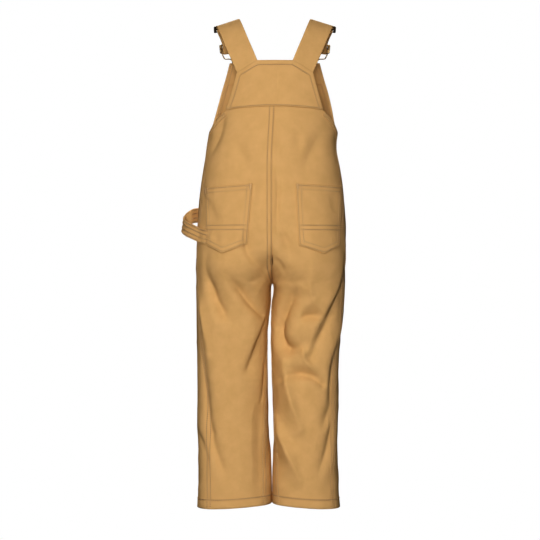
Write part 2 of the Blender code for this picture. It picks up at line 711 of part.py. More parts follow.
def plate(name, halves, row, side):
    """A flat plate with holes, lying in the strap's plane at one row of its course."""
    length, frame = strap_course(side)
    centre, width, forward, out = frame(np.interp(row, range(len(length)), length))
    outlines = [[Vector((x * MM, y * MM, 0)) for x, y in mirrored(half)] for half in halves]
    flat = [point for outline in outlines for point in outline]
    triangles = tessellate_polygon(outlines)
    count = len(flat)
    place = [centre + width * p.x + forward * p.y for p in flat]
    points = [p + out * PLATE / 2 for p in place] + [p - out * PLATE / 2 for p in place]
    faces = []
    for i, j, k in triangles:
        faces += [(i, j, k), (i + count, k + count, j + count)]
    start = 0
    for outline in outlines:
        for i in range(len(outline)):
            a, b = start + i, start + (i + 1) % len(outline)
            faces += [(b, a, a + count), (b, a + count, b + count)]
        start += len(outline)
    add_object(name, points, oriented(faces), "brass")


def bib_button(name, side):
    x, z = BUTTON_AT
    turn = turn_at(side, x, z, -1)
    centre = surface(side, turn, np.asarray(z))
    axis = normal_of(surface, side, turn, np.asarray(z))
    across = unit(np.cross(axis, [0, 0, 1]))
    up = np.cross(axis, across)
    angle = np.linspace(0, 2 * np.pi, BUTTON_STEPS, endpoint=False)[:, None]
    ring = np.cos(angle) * across + np.sin(angle) * up
    points = [centre + axis * h * MM + ring * r * MM for h, r in BUTTON_PROFILE]
    count = len(BUTTON_PROFILE) * BUTTON_STEPS
    ends = [centre + axis * BUTTON_PROFILE[0][0] * MM, centre + axis * (BUTTON_PROFILE[-1][0] + 0.2) * MM]
    index = np.arange(count).reshape(-1, BUTTON_STEPS)
    faces = list(quads(np.concatenate([index, index[:, :1]], axis=1)))
    for i in range(BUTTON_STEPS):
        j = (i + 1) % BUTTON_STEPS
        faces += [(index[0, i], count, index[0, j])][:1] + [(index[-1, j], count + 1, index[-1, i])]
    faces = [tuple(int(v) for v in face) for face in faces]
    add_object(name, np.concatenate(points + [np.array(ends)]), oriented(faces), "brass")


def oriented(faces):
    """Triangles with every shared edge run once each way, starting from the first triangle."""
    owners = {}
    for number, (a, b, c) in enumerate(faces):
        for edge in ((a, b), (b, c), (c, a)):
            owners.setdefault(frozenset(edge), []).append(number)
    done, queue = {0: faces[0]}, [0]
    while queue:
        current = queue.pop()
        a, b, c = done[current]
        for edge in ((a, b), (b, c), (c, a)):
            for other in owners[frozenset(edge)]:
                if other in done:
                    continue
                i, j, k = faces[other]
                same_way = edge in ((i, j), (j, k), (k, i))
                done[other] = (i, k, j) if same_way else (i, j, k)
                queue.append(other)
    return [done[number] for number in range(len(faces))]


def hip_loop():
    start = lifted(LEFT, np.radians(LOOP_START[0]), LOOP_START[1] * MM, 3.0 * MM)
    middle = np.array(LOOP_MM) * MM
    end = lifted(LEFT, np.radians(LOOP_END[0]), LOOP_END[1] * MM, 3.0 * MM)
    rows = np.concatenate([[start], middle, [end]])
    length = np.concatenate([[0], np.cumsum(np.linalg.norm(np.diff(rows, axis=0), axis=1))])
    distance = np.linspace(0, length[-1], 18)
    path = np.stack([smooth(distance, length, rows[:, i]) for i in range(3)], axis=-1)
    along = unit(np.gradient(path, axis=0))
    width = np.array([0, 0, 1.0])
    normal = unit(np.cross(width, along))
    spread = path + np.linspace(-0.5, 0.5, 3)[:, None, None] * LOOP_WIDTH * width
    slab("hip_loop", spread + normal * LOOP_WALL / 2, spread - normal * LOOP_WALL / 2)


def add_materials():
    for name, (colour, roughness, metallic) in MATERIALS.items():
        material = bpy.data.materials.new(name)
        material.use_nodes = True
        shader = material.node_tree.nodes["Principled BSDF"]
        shader.inputs["Base Color"].default_value = colour
        shader.inputs["Roughness"].default_value = roughness
        shader.inputs["Metallic"].default_value = metallic
        material.diffuse_color = colour
        material.roughness = roughness
        material.metallic = metallic


def main():
    for obj in list(bpy.data.objects):
        bpy.data.objects.remove(obj, do_unlink=True)
    add_materials()
    back_yoke()
    front_bib()
    for side, end in ((LEFT, "left"), (RIGHT, "right")):
        back_panel(f"back_panel_{end}", side)
        front_panel(f"front_panel_{end}", side)
        pocket(f"back_pocket_{end}", side)
        binding(f"armhole_binding_{end}", side)
        strap(f"strap_{end}", side)
        plate(f"slider_{end}", SLIDER_HALVES, SLIDER_ROW, side)
        plate(f"buckle_{end}", BUCKLE_HALVES, BUCKLE_ROW, side)
        bib_button(f"bib_button_{end}", side)
    hip_loop()


main()
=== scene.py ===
"""A child's bib overalls in tan cotton twill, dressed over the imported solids.

Metres, +Z up, the wearer faces -Y. All cloth lies on one body form that divides into two legs. A
place on it is a side, a turn round the section (0 outermost, +90 degrees at the back, -90 at the
front, 180 innermost) and a height, and every piece is a thin shell laid on that form, with the
folds, seams and stitches that the real one shows.
"""

import logging
from dataclasses import dataclass
from enum import Enum
from itertools import product
from typing import Callable, Sequence

import bpy
import numpy as np
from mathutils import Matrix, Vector


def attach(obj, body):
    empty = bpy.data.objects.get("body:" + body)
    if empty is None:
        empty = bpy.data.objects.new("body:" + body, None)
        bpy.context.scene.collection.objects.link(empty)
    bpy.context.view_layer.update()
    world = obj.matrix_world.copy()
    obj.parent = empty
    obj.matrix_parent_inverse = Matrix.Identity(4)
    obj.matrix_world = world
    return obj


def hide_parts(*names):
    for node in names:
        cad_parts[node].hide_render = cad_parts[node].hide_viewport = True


LOG = logging.getLogger("overalls")
MM = 0.001
Array = np.ndarray

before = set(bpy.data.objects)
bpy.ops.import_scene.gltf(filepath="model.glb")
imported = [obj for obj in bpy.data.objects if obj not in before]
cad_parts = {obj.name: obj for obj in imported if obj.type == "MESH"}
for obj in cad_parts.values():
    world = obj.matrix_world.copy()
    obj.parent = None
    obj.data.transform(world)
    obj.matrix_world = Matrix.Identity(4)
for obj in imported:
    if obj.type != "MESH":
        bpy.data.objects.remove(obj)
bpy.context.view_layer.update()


class Side(Enum):
    """Which half of the garment, as the wearer has it."""

    LEFT = 1
    RIGHT = -1

    @property
    def word(self) -> str:
        """The side's name as the solids spell it."""
        return self.name.lower()


# Heights of the garment's landmarks
BIB_TOP = -59 * MM
YOKE_TOP = -68 * MM
WAIST_SEAM = -206 * MM
SEAT_TOP = -262 * MM
CROTCH = -430 * MM
HEM = -798 * MM
OPEN_FROM = -178 * MM
SIDE_TOP = -183 * MM

# How far the hem rises at the outside and the inside of each leg, and how high up this is felt
HEM_RISE = (-1.5 * MM, 5.5 * MM)
HEM_RISE_REACH = 75 * MM

# The legs' inner edges draw apart just under the crotch: how far, over what height this opens and
# fades again, and how closely it keeps to the inner edge
CROTCH_ARCH = 2.4 * MM
ARCH_FROM = 1.8 * MM
ARCH_REACH = 9 * MM
ARCH_POWER = 20

# Sections are |x/a|^n + |y/b|^n = 1 with this n, and the division into legs deepens with this power
SQUARENESS = 2.3
SEAT_POWER = 2.2

# The body form: a row for each level section. left and right are half widths from the lean line,
# spreads widen the open upper part only, back and front are depths, lean moves the section sideways,
# and parting is half the space between the legs.
FORM_COLUMNS = ("z", "left", "right", "back_spread", "front_spread", "back", "front", "lean", "parting")
FORM_MM = (
    (-800, 124.0, 112.0, 0, 0, 48, 49, 0.0, 0.9),
    (-755, 122.8, 109.2, 0, 0, 48, 49, 0.0, 1.4),
    (-710, 122.7, 108.7, 0, 0, 49, 50, 0.0, 3.2),
    (-660, 121.1, 110.7, 0, 0, 50, 51, 1.5, 4.2),
    (-600, 119.6, 113.0, 0, 0, 52, 53, 3.2, 4.0),
    (-550, 119.8, 115.7, 0, 0, 54, 54, 4.2, 3.2),
    (-510, 120.3, 119.2, 0, 0, 57, 56, 4.2, 1.8),
    (-468, 122.9, 120.3, 0, 0, 61, 59, 1.6, 2.5),
    (-442, 125.6, 120.4, 0, 0, 66, 62, -0.6, 2.9),
    (-430, 125.5, 121.2, 0, 0, 69, 64, -0.3, 0.0),
    (-393, 126.2, 122.0, 0, 0, 79, 69, 0.0, 0.0),
    (-349, 124.5, 122.0, 0, 0, 82, 73, 0.0, 0.0),
    (-295, 121.2, 120.0, 0, 0, 78, 76, 0.0, 0.0),
    (-242, 114.5, 112.9, 0, 0, 72, 78, 0.0, 0.0),
    (-203, 108.9, 105.4, 0, 0, 69, 77, -1.0, 0.0),
    (-178, 105.9, 105.9, 0, 0, 67, 76, -2.5, 0.0),
    (-140, 102.0, 102.0, -2, 9, 64, 71, -4.3, 0.0),
    (-95, 98.0, 98.0, 0, 16, 61, 64, -4.8, 0.0),
    (-50, 96.0, 96.0, 2, 20, 60, 57, -4.8, 0.0),
)

# How far the seams are turned to the back, by height
SEAM_COLUMNS = ("z", "side_left", "side_right", "inseam")
SEAM_DEGREES = (
    (-800, 39, 33, 38), (-690, 38, 30, 33), (-610, 36, 26, 23), (-540, 32, 21, 12), (-450, 23, 17, 4),
    (-430, 21, 16, 0), (-360, 15, 14, 0), (-242, 9, 9, 0), (-181.5, 4.5, 4.5, 0),
)

# Edge of an armhole: +1 on the back and -1 on the front, distance from the lean line and height
ARMHOLE_MM = (
    (1, 61.5, -86.5), (1, 66.0, -105.0), (1, 72.5, -124.0), (1, 78.5, -146.5), (1, 83.5, -151.5),
    (1, 90.0, -157.5), (1, 97.5, -167.0), (1, 103.0, -176.0), (1, 105.6, -181.5),
    (-1, 104.8, -179.0), (-1, 102.0, -166.0), (-1, 98.5, -149.0), (-1, 94.5, -130.0),
    (-1, 88.5, -106.0), (-1, 81.5, -82.0), (-1, 75.5, -59.0),
)

# The yoke's seam: distance from the lean line and height
YOKE_SEAM_MM = ((0, -142.6), (14, -142.4), (30, -143.3), (55, -144.6), (78.5, -146.5))

# Creases of the cloth: three points each as turn in degrees and height in millimetres, the rise at
# the crease (a trough is negative), how far its two flanks reach, on the left of its run and on the
# right as laid out with turns across and heights up, the share of the rise left at either end, and
# how far its bottom is rounded. The path between the points is a parabola, read at so many points, a
# crease is left out beyond so many reaches, and its ends fade over one CREASE_FADEth of its length.
CREASE_POINTS = 15
CREASE_REACH = 4.2
CREASE_FADE = 2.5
CREASE_POWER = 1.25
FOLD_COLUMNS = (
    "side", "turn0", "z0", "turn1", "z1", "turn2", "z2", "rise", "left", "right", "start", "end", "soft",
)
FOLDS = (
    # Back of the left leg
    (1, 41, -390, 63, -455, 88, -494, -11.5, 12, 7.5, 0.2, 0.3, 2.2),
    (1, 80, -413, 109, -453, 142, -482, -11, 9, 6, 0.15, 0.5, 1.6),
    (1, 159, -482, 141, -518, 120, -566, -9.5, 14, 6.5, 0.2, 0.7, 2),
    (1, 109, -566, 116, -573, 125, -572, -3.2, 4, 4, 0.4, 0.3, 1.6),
    (1, 30, -444, 42, -491, 50, -550, 6, 7, 10, 0.3, 0.4, 1.2),
    (1, 37, -542, 40, -621, 50, -674, -6.8, 7, 7, 0.3, 0.9, 2.4),
    (1, 50, -674, 60, -713, 79, -757, -5.7, 8, 6, 1, 0.1, 2.4),
    (1, 13, -677, 33, -697, 43, -735, -2.8, 5, 5, 0.6, 0.2, 1.8),
    (1, 146, -615, 139, -686, 141, -765, -3.6, 9, 9, 0.2, 0.5, 4.5),
    (1, 158, -543, 154, -586, 146, -624, -2.8, 4, 6, 0.2, 0.8, 1.8),
    (1, 107, -427, 115, -427, 126, -422, -1.6, 5, 4, 0.3, 0.5, 1.6),
    (1, 68, -337, 87, -377, 127, -408, -6.5, 12, 3.6, 0.3, 0.8, 1.4),
    (1, 73, -253, 70, -303, 79, -347, 2, 8, 8, 0.2, 0.3, 4),
    # Back of the right leg
    (-1, 85, -344, 93, -374, 111, -400, -5, 8, 8, 0.2, 0.4, 3),
    (-1, 115, -387, 119, -402, 120, -418, -3.2, 4, 4.5, 0.2, 0.3, 1.6),
    (-1, 76, -390, 89, -432, 84, -457, 3.2, 5, 5, 0.3, 0.9, 1.4),
    (-1, 84, -457, 76, -468, 65, -478, 2.8, 4.5, 5, 0.9, 0.4, 1.4),
    (-1, 106, -493, 86, -483, 64, -489, -10, 5.5, 9, 0.2, 0.7, 1.8),
    (-1, 19, -416, 53, -485, 82, -551, -9.5, 10.5, 13, 0.5, 0.6, 2.2),
    (-1, 103, -429, 128, -470, 143, -503, -14, 8.5, 16, 0.15, 0.75, 2.2),
    (-1, 143, -501, 130, -535, 93, -531, -17.5, 9, 15, 0.8, 0.4, 2),
    (-1, 88, -520, 93, -551, 60, -582, 4.2, 5, 5, 0.3, 0.4, 1.2),
    (-1, 132, -586, 95, -579, 59, -594, -11.5, 5.5, 11.5, 0.3, 0.6, 2),
    (-1, 0, -508, 34, -562, 41, -618, -7.4, 9, 11, 0.2, 0.9, 2.4),
    (-1, 41, -618, 46, -640, 65, -677, -5.2, 9, 11, 0.9, 0.1, 2.6),
    (-1, 39, -641, 47, -697, 74, -749, -5.4, 7, 7, 0.3, 0.2, 2.4),
    (-1, 31, -434, 26, -457, 20, -484, -2.2, 4, 4, 0.3, 0.3, 1.4),
    (-1, 155, -479, 140, -498, 130, -512, -3.6, 5, 5, 0.5, 0.8, 1.6),
    (-1, 130, -547, 119, -607, 101, -667, 10, 12, 6, 0.4, 0.5, 1.6),
    (-1, 148, -653, 128, -695, 102, -753, 10.5, 12, 6, 0.3, 0.4, 1.6),
    (-1, 36, -410, 64, -478, 91, -541, 3.8, 14, 9, 0.4, 0.6, 1.8),
    (-1, 23, -505, 44, -562, 48, -617, 3, 12, 8, 0.4, 0.8, 1.8),
    (1, 147, -480, 134, -517, 115, -564, 4.5, 10, 16, 0.3, 0.6, 1.6),
    (-1, 87, -336, 92, -365, 108, -382, -4.8, 7, 7, 0.3, 0.3, 2.4),
    (1, 103, -587, 146, -654, 143, -736, -1.2, 14, 14, 0.3, 0.3, 4),
    (-1, 141, -459, 118, -436, 99, -421, -2.6, 8, 8, 0.3, 0.3, 3),
    # Back above the seat
    (1, 27, -158, 26, -189, 17, -224, -3.6, 5, 10, 0.6, 0.3, 1.6),
    (1, 39, -194, 54, -222, 60, -256, -3.6, 9, 11, 0.2, 0.2, 4.5),
    (-1, 32, -183, 42, -215, 55, -251, -3.8, 8, 13, 0.4, 0.2, 3.6),
    (-1, 58, -180, 58, -202, 59, -224, -2.2, 8, 7, 0.3, 0.3, 3.5),
    (-1, 87, -162, 84, -198, 84, -230, -0.9, 3, 4, 0.4, 0.4, 1.6),
    (1, 0, -205, 7, -246, 16, -288, -3, 5, 5, 0.3, 0.5, 1.8),
    (1, 13, -278, 22, -293, 31, -307, -1.5, 4, 5, 0.3, 0.3, 2),
    (1, 26, -299, 32, -317, 38, -337, -2.4, 6, 9, 0.2, 0.2, 3.6),
    (1, 40, -348, 44, -356, 49, -364, -1.6, 4, 5, 0.3, 0.3, 2.4),
    (-1, 27, -278, 27, -299, 29, -320, -1.8, 8, 7, 0.3, 0.3, 3.5),
    (-1, 85, -250, 84, -302, 95, -350, -3.2, 4, 5.5, 0.4, 0.5, 2),
    (1, 82, -253, 74, -295, 76, -331, -2.4, 9, 8, 0.3, 0.3, 4),
    (-1, 86, -84, 87, -108, 87, -133, -0.9, 4, 2.6, 0.4, 0.5, 1),
    (1, 78, -87, 79, -110, 80, -134, -0.7, 6, 9, 0.3, 0.3, 3),
    (1, 57, -87, 57, -109, 56, -132, 0.6, 6, 7, 0.3, 0.3, 3),
    # Front of both legs
    (1, -62, -452, -84, -478, -112, -490, -7.6, 12.5, 5.8, 0.4, 0.8, 1.9),
    (1, -20, -470, -38, -520, -52, -566, -6.6, 5, 10.9, 0.4, 0.9, 1.9),
    (1, -150, -470, -128, -520, -104, -560, -6.6, 10.9, 5, 0.8, 0.5, 1.9),
    (1, -70, -590, -88, -612, -120, -618, -5.4, 12.5, 5.8, 0.4, 0.6, 1.9),
    (1, -58, -664, -66, -704, -60, -752, -4.4, 10.8, 10.8, 0.5, 0.3, 1.9),
    (-1, -66, -446, -92, -480, -118, -500, -7.6, 12.5, 5.8, 0.4, 0.8, 1.9),
    (-1, -22, -478, -42, -526, -50, -580, -6.6, 5, 10.9, 0.4, 0.9, 1.9),
    (-1, -148, -484, -122, -532, -98, -570, -6.6, 10.9, 5, 0.8, 0.5, 1.9),
    (-1, -74, -604, -94, -622, -126, -622, -5.4, 12.5, 5.8, 0.4, 0.6, 1.9),
    (-1, -112, -660, -104, -706, -112, -756, -4.4, 10.8, 10.8, 0.5, 0.3, 1.9),
    # Front below the waist and on the bib
    (1, -84, -330, -66, -372, -44, -404, -5.4, 14, 6.5, 0.3, 0.8, 1.9),
    (-1, -86, -342, -68, -380, -40, -410, -5.4, 14, 6.5, 0.3, 0.8, 1.9),
    (1, -52, -120, -60, -150, -58, -182, -3.9, 14.4, 14.4, 0.5, 0.5, 1.9),
    (-1, -56, -112, -52, -146, -62, -180, -3.9, 14.4, 14.4, 0.5, 0.5, 1.9),
)

# Rumpling of stiff cotton: its scale in metres, its height in millimetres above the legs, and what
# the legs add to that
SLOW = ((0.030, 0.030, 0.042), 0.5, 0.9)
QUICK = ((0.012, 0.012, 0.016), 0.12, 0.2)
RIDGES = ((0.021, 0.021, 0.030), 0.15, 0.45)
LEG_BLEND_FROM, LEG_BLEND = SEAT_TOP + 30 * MM, 120 * MM

# Creases that run on over the centre seam fade within CENTRE_FADE. At the crotch, creases and
# rumples are held back, over these heights under and over it and this far from the seam.
CENTRE_FADE = 18 * MM
HELD_UNDER, HELD_UNDER_BLEND = 22 * MM, 12 * MM
HELD_OVER, HELD_OVER_BLEND = 38 * MM, 14 * MM
HELD_WIDTH = 11 * MM

# Corners of the seat pockets, as turn in degrees and height in millimetres: outer top, inner top,
# inner bottom, tip and outer bottom
POCKETS = {
    Side.LEFT: ((18.0, -274.1), (66.9, -268.8), (81.1, -365.7), (61.2, -380.9), (36.8, -368.4)),
    Side.RIGHT: ((11.6, -271.8), (62.3, -268.7), (79.9, -368.3), (57.0, -381.4), (30.9, -368.7)),
}

# A strap's centre line from the yoke over the shoulder to the button: the place in millimetres from
# the lean line, and how far the strap's width drops and sweeps back
STRAP_COLUMNS = ("x", "y", "z", "drop", "sweep")
STRAP_MM = (
    (45.4, 56.2, -77.0, 0.59, -0.26), (53.3, 52.5, -58.0, 0.54, -0.24), (62.6, 43.5, -36.0, 0.47, -0.20),
    (72.0, 27.0, -12.0, 0.38, -0.12), (77.5, 6.0, 1.0, 0.32, 0.00), (78.5, -14.0, -1.5, 0.28, 0.10),
    (75.5, -32.0, -10.0, 0.20, 0.22), (71.0, -43.8, -22.5, 0.19, 0.30), (68.9, -48.4, -37.5, 0.165, 0.32),
    (67.1, -51.4, -55.0, 0.165, 0.32), (65.5, -54.0, -72.0, 0.165, 0.32),
)
SLIDER_ROW = 5.0
BUCKLE_ROW = 8.0

# The ribbon's way through the slider, round the buckle's bar and back: distances along the strap and
# outwards from its centre line, in millimetres, from a row of the table above
THREAD = (
    (SLIDER_ROW, ((-16, 0.0), (-9, -2.1), (-7.6, -2.1), (-2.6, 2.1), (2.6, 2.1), (7.6, -2.1), (11, -2.1),
                  (18, -1.2))),
    (BUCKLE_ROW, ((-18, -1.2), (-13, -2.2), (-10.2, -2.2), (-3.0, 2.1), (0.6, 2.1), (2.6, 1.4), (3.2, 0.0),
                  (2.6, -1.4), (0.6, -2.3), (-4, -3.6), (-10, -4.6), (-18, -4.4))),
    (SLIDER_ROW, ((18, -4.4), (9, -4.6), (5, -4.3), (1, -2.6))),
)

# Sewing: where the shaders look for the rows of stitches, the mark of unsewn cloth, and the rows
# themselves as distances from the edge in millimetres
FIRST_MARK, LAST_MARK, MARKS_APART = 2 * MM, 8 * MM, 6 * MM
ONE_ROW_SPAN = 5.2 * MM
UNSEWN = 30 * MM
TWIN_ROWS = (1.6, 7.8)
FELL_ROWS = (1.4, 7.8)
BAND_STEP = 1.6 * MM
SEAM_PITCH = 3 * MM
LINE_PITCH = 1.2 * MM
BARTACK, BARTACK_PITCH = 8 * MM, 0.6 * MM

# Puckers beside a sewn edge: height, size along and across the edge, and how far past the band
PUCKER_HEIGHT = 0.2 * MM
PUCKER_SIZE = (6.5 * MM, 22 * MM)
PUCKER_REACH = 5 * MM

# Rows of the panels' grids beside the crotch, from its height
CROTCH_ROWS_MM = (-1.8, -0.9, 0.0, 0.15, 0.5, 1.0, 1.7, 2.6, 3.7, 5.0, 6.5, 8.3, 10.4)


def unit(v: Array) -> Array:
    """Vectors scaled to length one."""
    return v / np.maximum(np.linalg.norm(v, axis=-1, keepdims=True), 1e-12)


def wrapped(angle: Array) -> Array:
    """Angles brought into the turn from -pi to pi."""
    return (angle + np.pi) % (2 * np.pi) - np.pi


def eased(x: Array) -> Array:
    """The soft step 3x^2 - 2x^3, held at 0 and 1 outside."""
    x = np.clip(x, 0, 1)
    return x * x * (3 - 2 * x)


def smooth(x: Array, xs: Sequence[float], ys: Sequence[float]) -> Array:
    """A cubic curve with continuous slope through the points (xs, ys), read at x.

    Args:
        x: Where to read the curve.
        xs: Rising positions of the points.
        ys: Values at those positions.

    Returns:
        The curve's values at x.
    """
    xs, ys = np.asarray(xs, float), np.asarray(ys, float)
    slope = np.gradient(ys, xs)
    i = np.clip(np.searchsorted(xs, x) - 1, 0, len(xs) - 2)
    step = xs[i + 1] - xs[i]
    t = np.clip((x - xs[i]) / step, 0, 1)
    rise = t * t * (3 - 2 * t)
    ends = step * (slope[i] * t * (1 - t) ** 2 - slope[i + 1] * t * t * (1 - t))
    return ys[i] * (1 - rise) + ys[i + 1] * rise + ends


def run_lengths(points: Array) -> Array:
    """Distance of each point along a line of points."""
    return np.concatenate([[0], np.cumsum(np.linalg.norm(np.diff(points, axis=0), axis=1))])


def read_line(at: Array, length: Array, points: Array, curve: Callable = np.interp) -> Array:
    """Places on a line of points, or other vectors along it, at these distances.

    Args:
        at: Distances to read.
        length: Distance of each point along the line.
        points: The points or vectors, n by 3.
        curve: How to read between them, straight or smooth.

    Returns:
        The places, shaped as at by 3.
    """
    return np.stack([curve(at, length, points[:, i]) for i in range(3)], axis=-1)


class Rumple:
    """Smooth random relief: seeded values on a cubic lattice, blended between its corners."""

    def __init__(self, seed: int) -> None:
        """Draw the lattice once."""
        self.values = np.random.default_rng(seed).random((32, 32, 32)) * 2 - 1

    def __call__(self, points: Array, scale: Sequence[float]) -> Array:
        """Read the relief, -1 to 1, at points divided by scale along x, y and z."""
        p = points / np.asarray(scale)
        low = np.floor(p).astype(int)
        t = eased(p - low)
        total = 0.0
        for corner in range(8):
            bit = np.array([corner & 1, corner >> 1 & 1, corner >> 2 & 1])
            cell = (low + bit) % 32
            weight = np.prod(np.where(bit, t, 1 - t), axis=-1)
            total = total + weight * self.values[cell[..., 0], cell[..., 1], cell[..., 2]]
        return total


class BodyForm:
    """The filled-out form that all the cloth lies on, with its folds."""

    def __init__(self) -> None:
        """Turn the tables into columns."""
        self.rows = dict(zip(FORM_COLUMNS, np.array(FORM_MM, float).T * MM))
        self.seams = dict(zip(SEAM_COLUMNS, np.array(SEAM_DEGREES, float).T))
        self.large, self.small, self.crisp = Rumple(3), Rumple(11), Rumple(29)

    def at(self, name: str, z: Array) -> Array:
        """One column of the form's table at the given heights."""
        return smooth(z, self.rows["z"], self.rows[name])

    def seam_turn(self, name: str, z: Array) -> Array:
        """How far a side seam or inseam is turned to the back, in radians."""
        return np.radians(np.interp(z, self.seams["z"] * MM, self.seams[name]))

    def side_seam(self, side: Side, z: Array) -> Array:
        """Turn of the side seam."""
        return self.seam_turn(f"side_{side.word}", z)

    def section(self, side: Side, z: Array, face: Array) -> tuple[Array, Array, Array]:
        """Centre, half width and depth of the half section on one side of the lean line.

        The two halves are drawn apart from one closed ring at the hips to two at the crotch.

        Args:
            side: Wearer's left or right.
            z: Heights.
            face: +1 at the back and -1 at the front.

        Returns:
            Centre, half width and depth, in metres.
        """
        spread = np.where(face > 0, self.at("back_spread", z), self.at("front_spread", z))
        half = self.at(side.word, z) + np.where(z > OPEN_FROM, spread, 0)
        parting = np.maximum(self.at("parting", z), 0)
        share = eased(np.clip((SEAT_TOP - z) / (SEAT_TOP - CROTCH), 0, 1) ** SEAT_POWER)
        radius = (half - parting) / (1 + share)
        depth = np.where(face > 0, self.at("back", z), self.at("front", z))
        return parting + share * radius, radius, depth

    def point(self, side: Side, turn: Array, z: Array) -> Array:
        """The form without folds, as places on it."""
        turn, z = np.broadcast_arrays(np.asarray(turn, float), np.asarray(z, float))
        face = np.where(np.sin(turn) >= 0, 1, -1)
        centre, radius, depth = self.section(side, z, face)
        across, along = np.cos(turn), np.sin(turn)
        n = SQUARENESS
        reach = (np.abs(across / radius) ** n + np.abs(along / depth) ** n) ** (-1 / n)
        below = np.clip(CROTCH - z, 0, None)
        arch = CROTCH_ARCH * eased(below / ARCH_FROM) * np.exp(-((below / ARCH_REACH) ** 2))
        arch = arch * ((1 - across) / 2) ** ARCH_POWER
        x = self.at("lean", z) + side.value * (centre + reach * across + arch)
        low = np.exp(-(((z - HEM) / HEM_RISE_REACH) ** 2))
        rise = (HEM_RISE[0] * (1 + across) + HEM_RISE[1] * (1 - across)) / 2
        return np.stack([x, reach * along, z + low * rise], axis=-1)

    def turn_at(self, side: Side, x: Array, z: Array, face: int) -> Array:
        """The turn at which the section lies x from the lean line, on the back or the front."""
        centre, radius, depth = self.section(side, z, np.asarray(face))
        offset = np.clip(x - centre, -radius, radius)
        y = depth * np.maximum(1 - np.abs(offset / radius) ** SQUARENESS, 0) ** (1 / SQUARENESS)
        return np.arctan2(face * y, offset)

    def normal(self, side: Side, turn: Array, z: Array) -> Array:
        """Outward normal of the form without folds, from differences over a small step."""
        step = 1e-4
        by_turn = self.point(side, turn + 10 * step, z) - self.point(side, turn - 10 * step, z)
        by_z = self.point(side, turn, z + step) - self.point(side, turn, z - step)
        return unit(np.cross(by_turn, by_z)) * side.value

    def creases(self, side: Side, turn: Array, z: Array) -> Array:
        """Sum of one side's listed creases: steep near its bottom, flattening out over either flank.

        Across a crease the rise falls off as exp(-(d/reach)^p), with d rounded near zero. Creases of
        one kind join as the cube root of their summed cubes, so the higher one nearly holds.

        Args:
            side: Whose creases to sum.
            turn: Turns of the places.
            z: Heights of the places.

        Returns:
            Height of the relief in metres.
        """
        turn, z = turn.ravel(), z.ravel()
        heaped = {1: np.zeros(turn.size), -1: np.zeros(turn.size)}
        share = np.linspace(0, 1, CREASE_POINTS)
        left, right = 1 - share, 2 * share - 1
        weights = np.stack([left * (1 - 2 * share), 4 * share * left, share * right])
        for row in FOLDS:
            fold = dict(zip(FOLD_COLUMNS, row))
            if fold["side"] != side.value:
                continue
            path_turn = np.radians([fold[f"turn{i}"] for i in range(3)]) @ weights
            path_z = np.array([fold[f"z{i}"] for i in range(3)]) * MM @ weights
            reach = CREASE_REACH * max(fold["left"], fold["right"]) * MM
            keep = np.flatnonzero((z > path_z.min() - reach) & (z < path_z.max() + reach))
            if not keep.size:
                continue
            t, h = turn[keep], z[keep]
            _, radius, depth = self.section(side, h, np.sign(path_turn[CREASE_POINTS // 2]))
            scale = (radius + depth) / 2
            near, signed, place = np.full(t.shape, np.inf), np.zeros(t.shape), np.zeros(t.shape)
            for i in range(len(share) - 1):
                ax, ay = scale * wrapped(t - path_turn[i]), h - path_z[i]
                bx, by = scale * (path_turn[i + 1] - path_turn[i]), path_z[i + 1] - path_z[i]
                s = np.clip((ax * bx + ay * by) / (bx * bx + by * by + 1e-12), 0, 1)
                d = np.hypot(ax - s * bx, ay - s * by)
                closer = d < near
                near = np.where(closer, d, near)
                signed = np.where(closer, (bx * ay - by * ax) / np.hypot(bx, by), signed)
                place = np.where(closer, (i + s) / (len(share) - 1), place)
            first = fold["start"] + (1 - fold["start"]) * eased(CREASE_FADE * place)
            last = fold["end"] + (1 - fold["end"]) * eased(CREASE_FADE - CREASE_FADE * place)
            toward = np.clip(signed / np.maximum(near, 1e-9), -1, 1) * 0.5 + 0.5
            width = (fold["right"] + (fold["left"] - fold["right"]) * eased(toward)) * MM
            soft = fold["soft"] * MM
            away = (np.hypot(near, soft) - soft) / width
            height = np.minimum(first, last) * abs(fold["rise"]) * MM * np.exp(-(away**CREASE_POWER))
            heaped[1 if fold["rise"] > 0 else -1][keep] += height**3
        return np.cbrt(heaped[1]) - np.cbrt(heaped[-1])

    def relief(self, side: Side, turn: Array, z: Array, where: Array) -> Array:
        """All folds at the given places, with the fine rumpling of stiff cotton.

        Args:
            side: Wearer's left or right.
            turn: Turns of the places.
            z: Heights of the places.
            where: The same places on the form without folds.

        Returns:
            Height of the relief in metres.
        """
        shape = turn.shape
        own = self.creases(side, turn, z)
        face = np.where(np.sin(turn) >= 0, 1, -1)
        centre = self.turn_at(side, 0.0, z, face)
        other = Side.RIGHT if side is Side.LEFT else Side.LEFT
        near = np.exp(-(((centre - turn) * self.at("back", z) / CENTRE_FADE) ** 2))
        crossing = self.creases(other, 2 * centre - turn, z).reshape(shape)
        folds = own.reshape(shape) + np.where(z > CROTCH, near * crossing, 0)
        leg = eased((LEG_BLEND_FROM - z) / LEG_BLEND)
        inner = np.where(z > CROTCH, centre, face * np.pi)
        at_crotch = eased((z - CROTCH + HELD_UNDER) / HELD_UNDER_BLEND)
        at_crotch = at_crotch * eased((CROTCH + HELD_OVER - z) / HELD_OVER_BLEND)
        held = 1 - at_crotch * np.exp(-(((inner - turn) * self.at("back", z) / HELD_WIDTH) ** 2))
        rumples = (
            (SLOW, self.large(where, SLOW[0])),
            (QUICK, self.small(where, QUICK[0])),
            (RIDGES, (1 - np.abs(self.crisp(where, RIDGES[0]))) ** 3),
        )
        total = sum((seat + more * leg) * wave for (_, seat, more), wave in rumples)
        return held * (folds + total * MM)

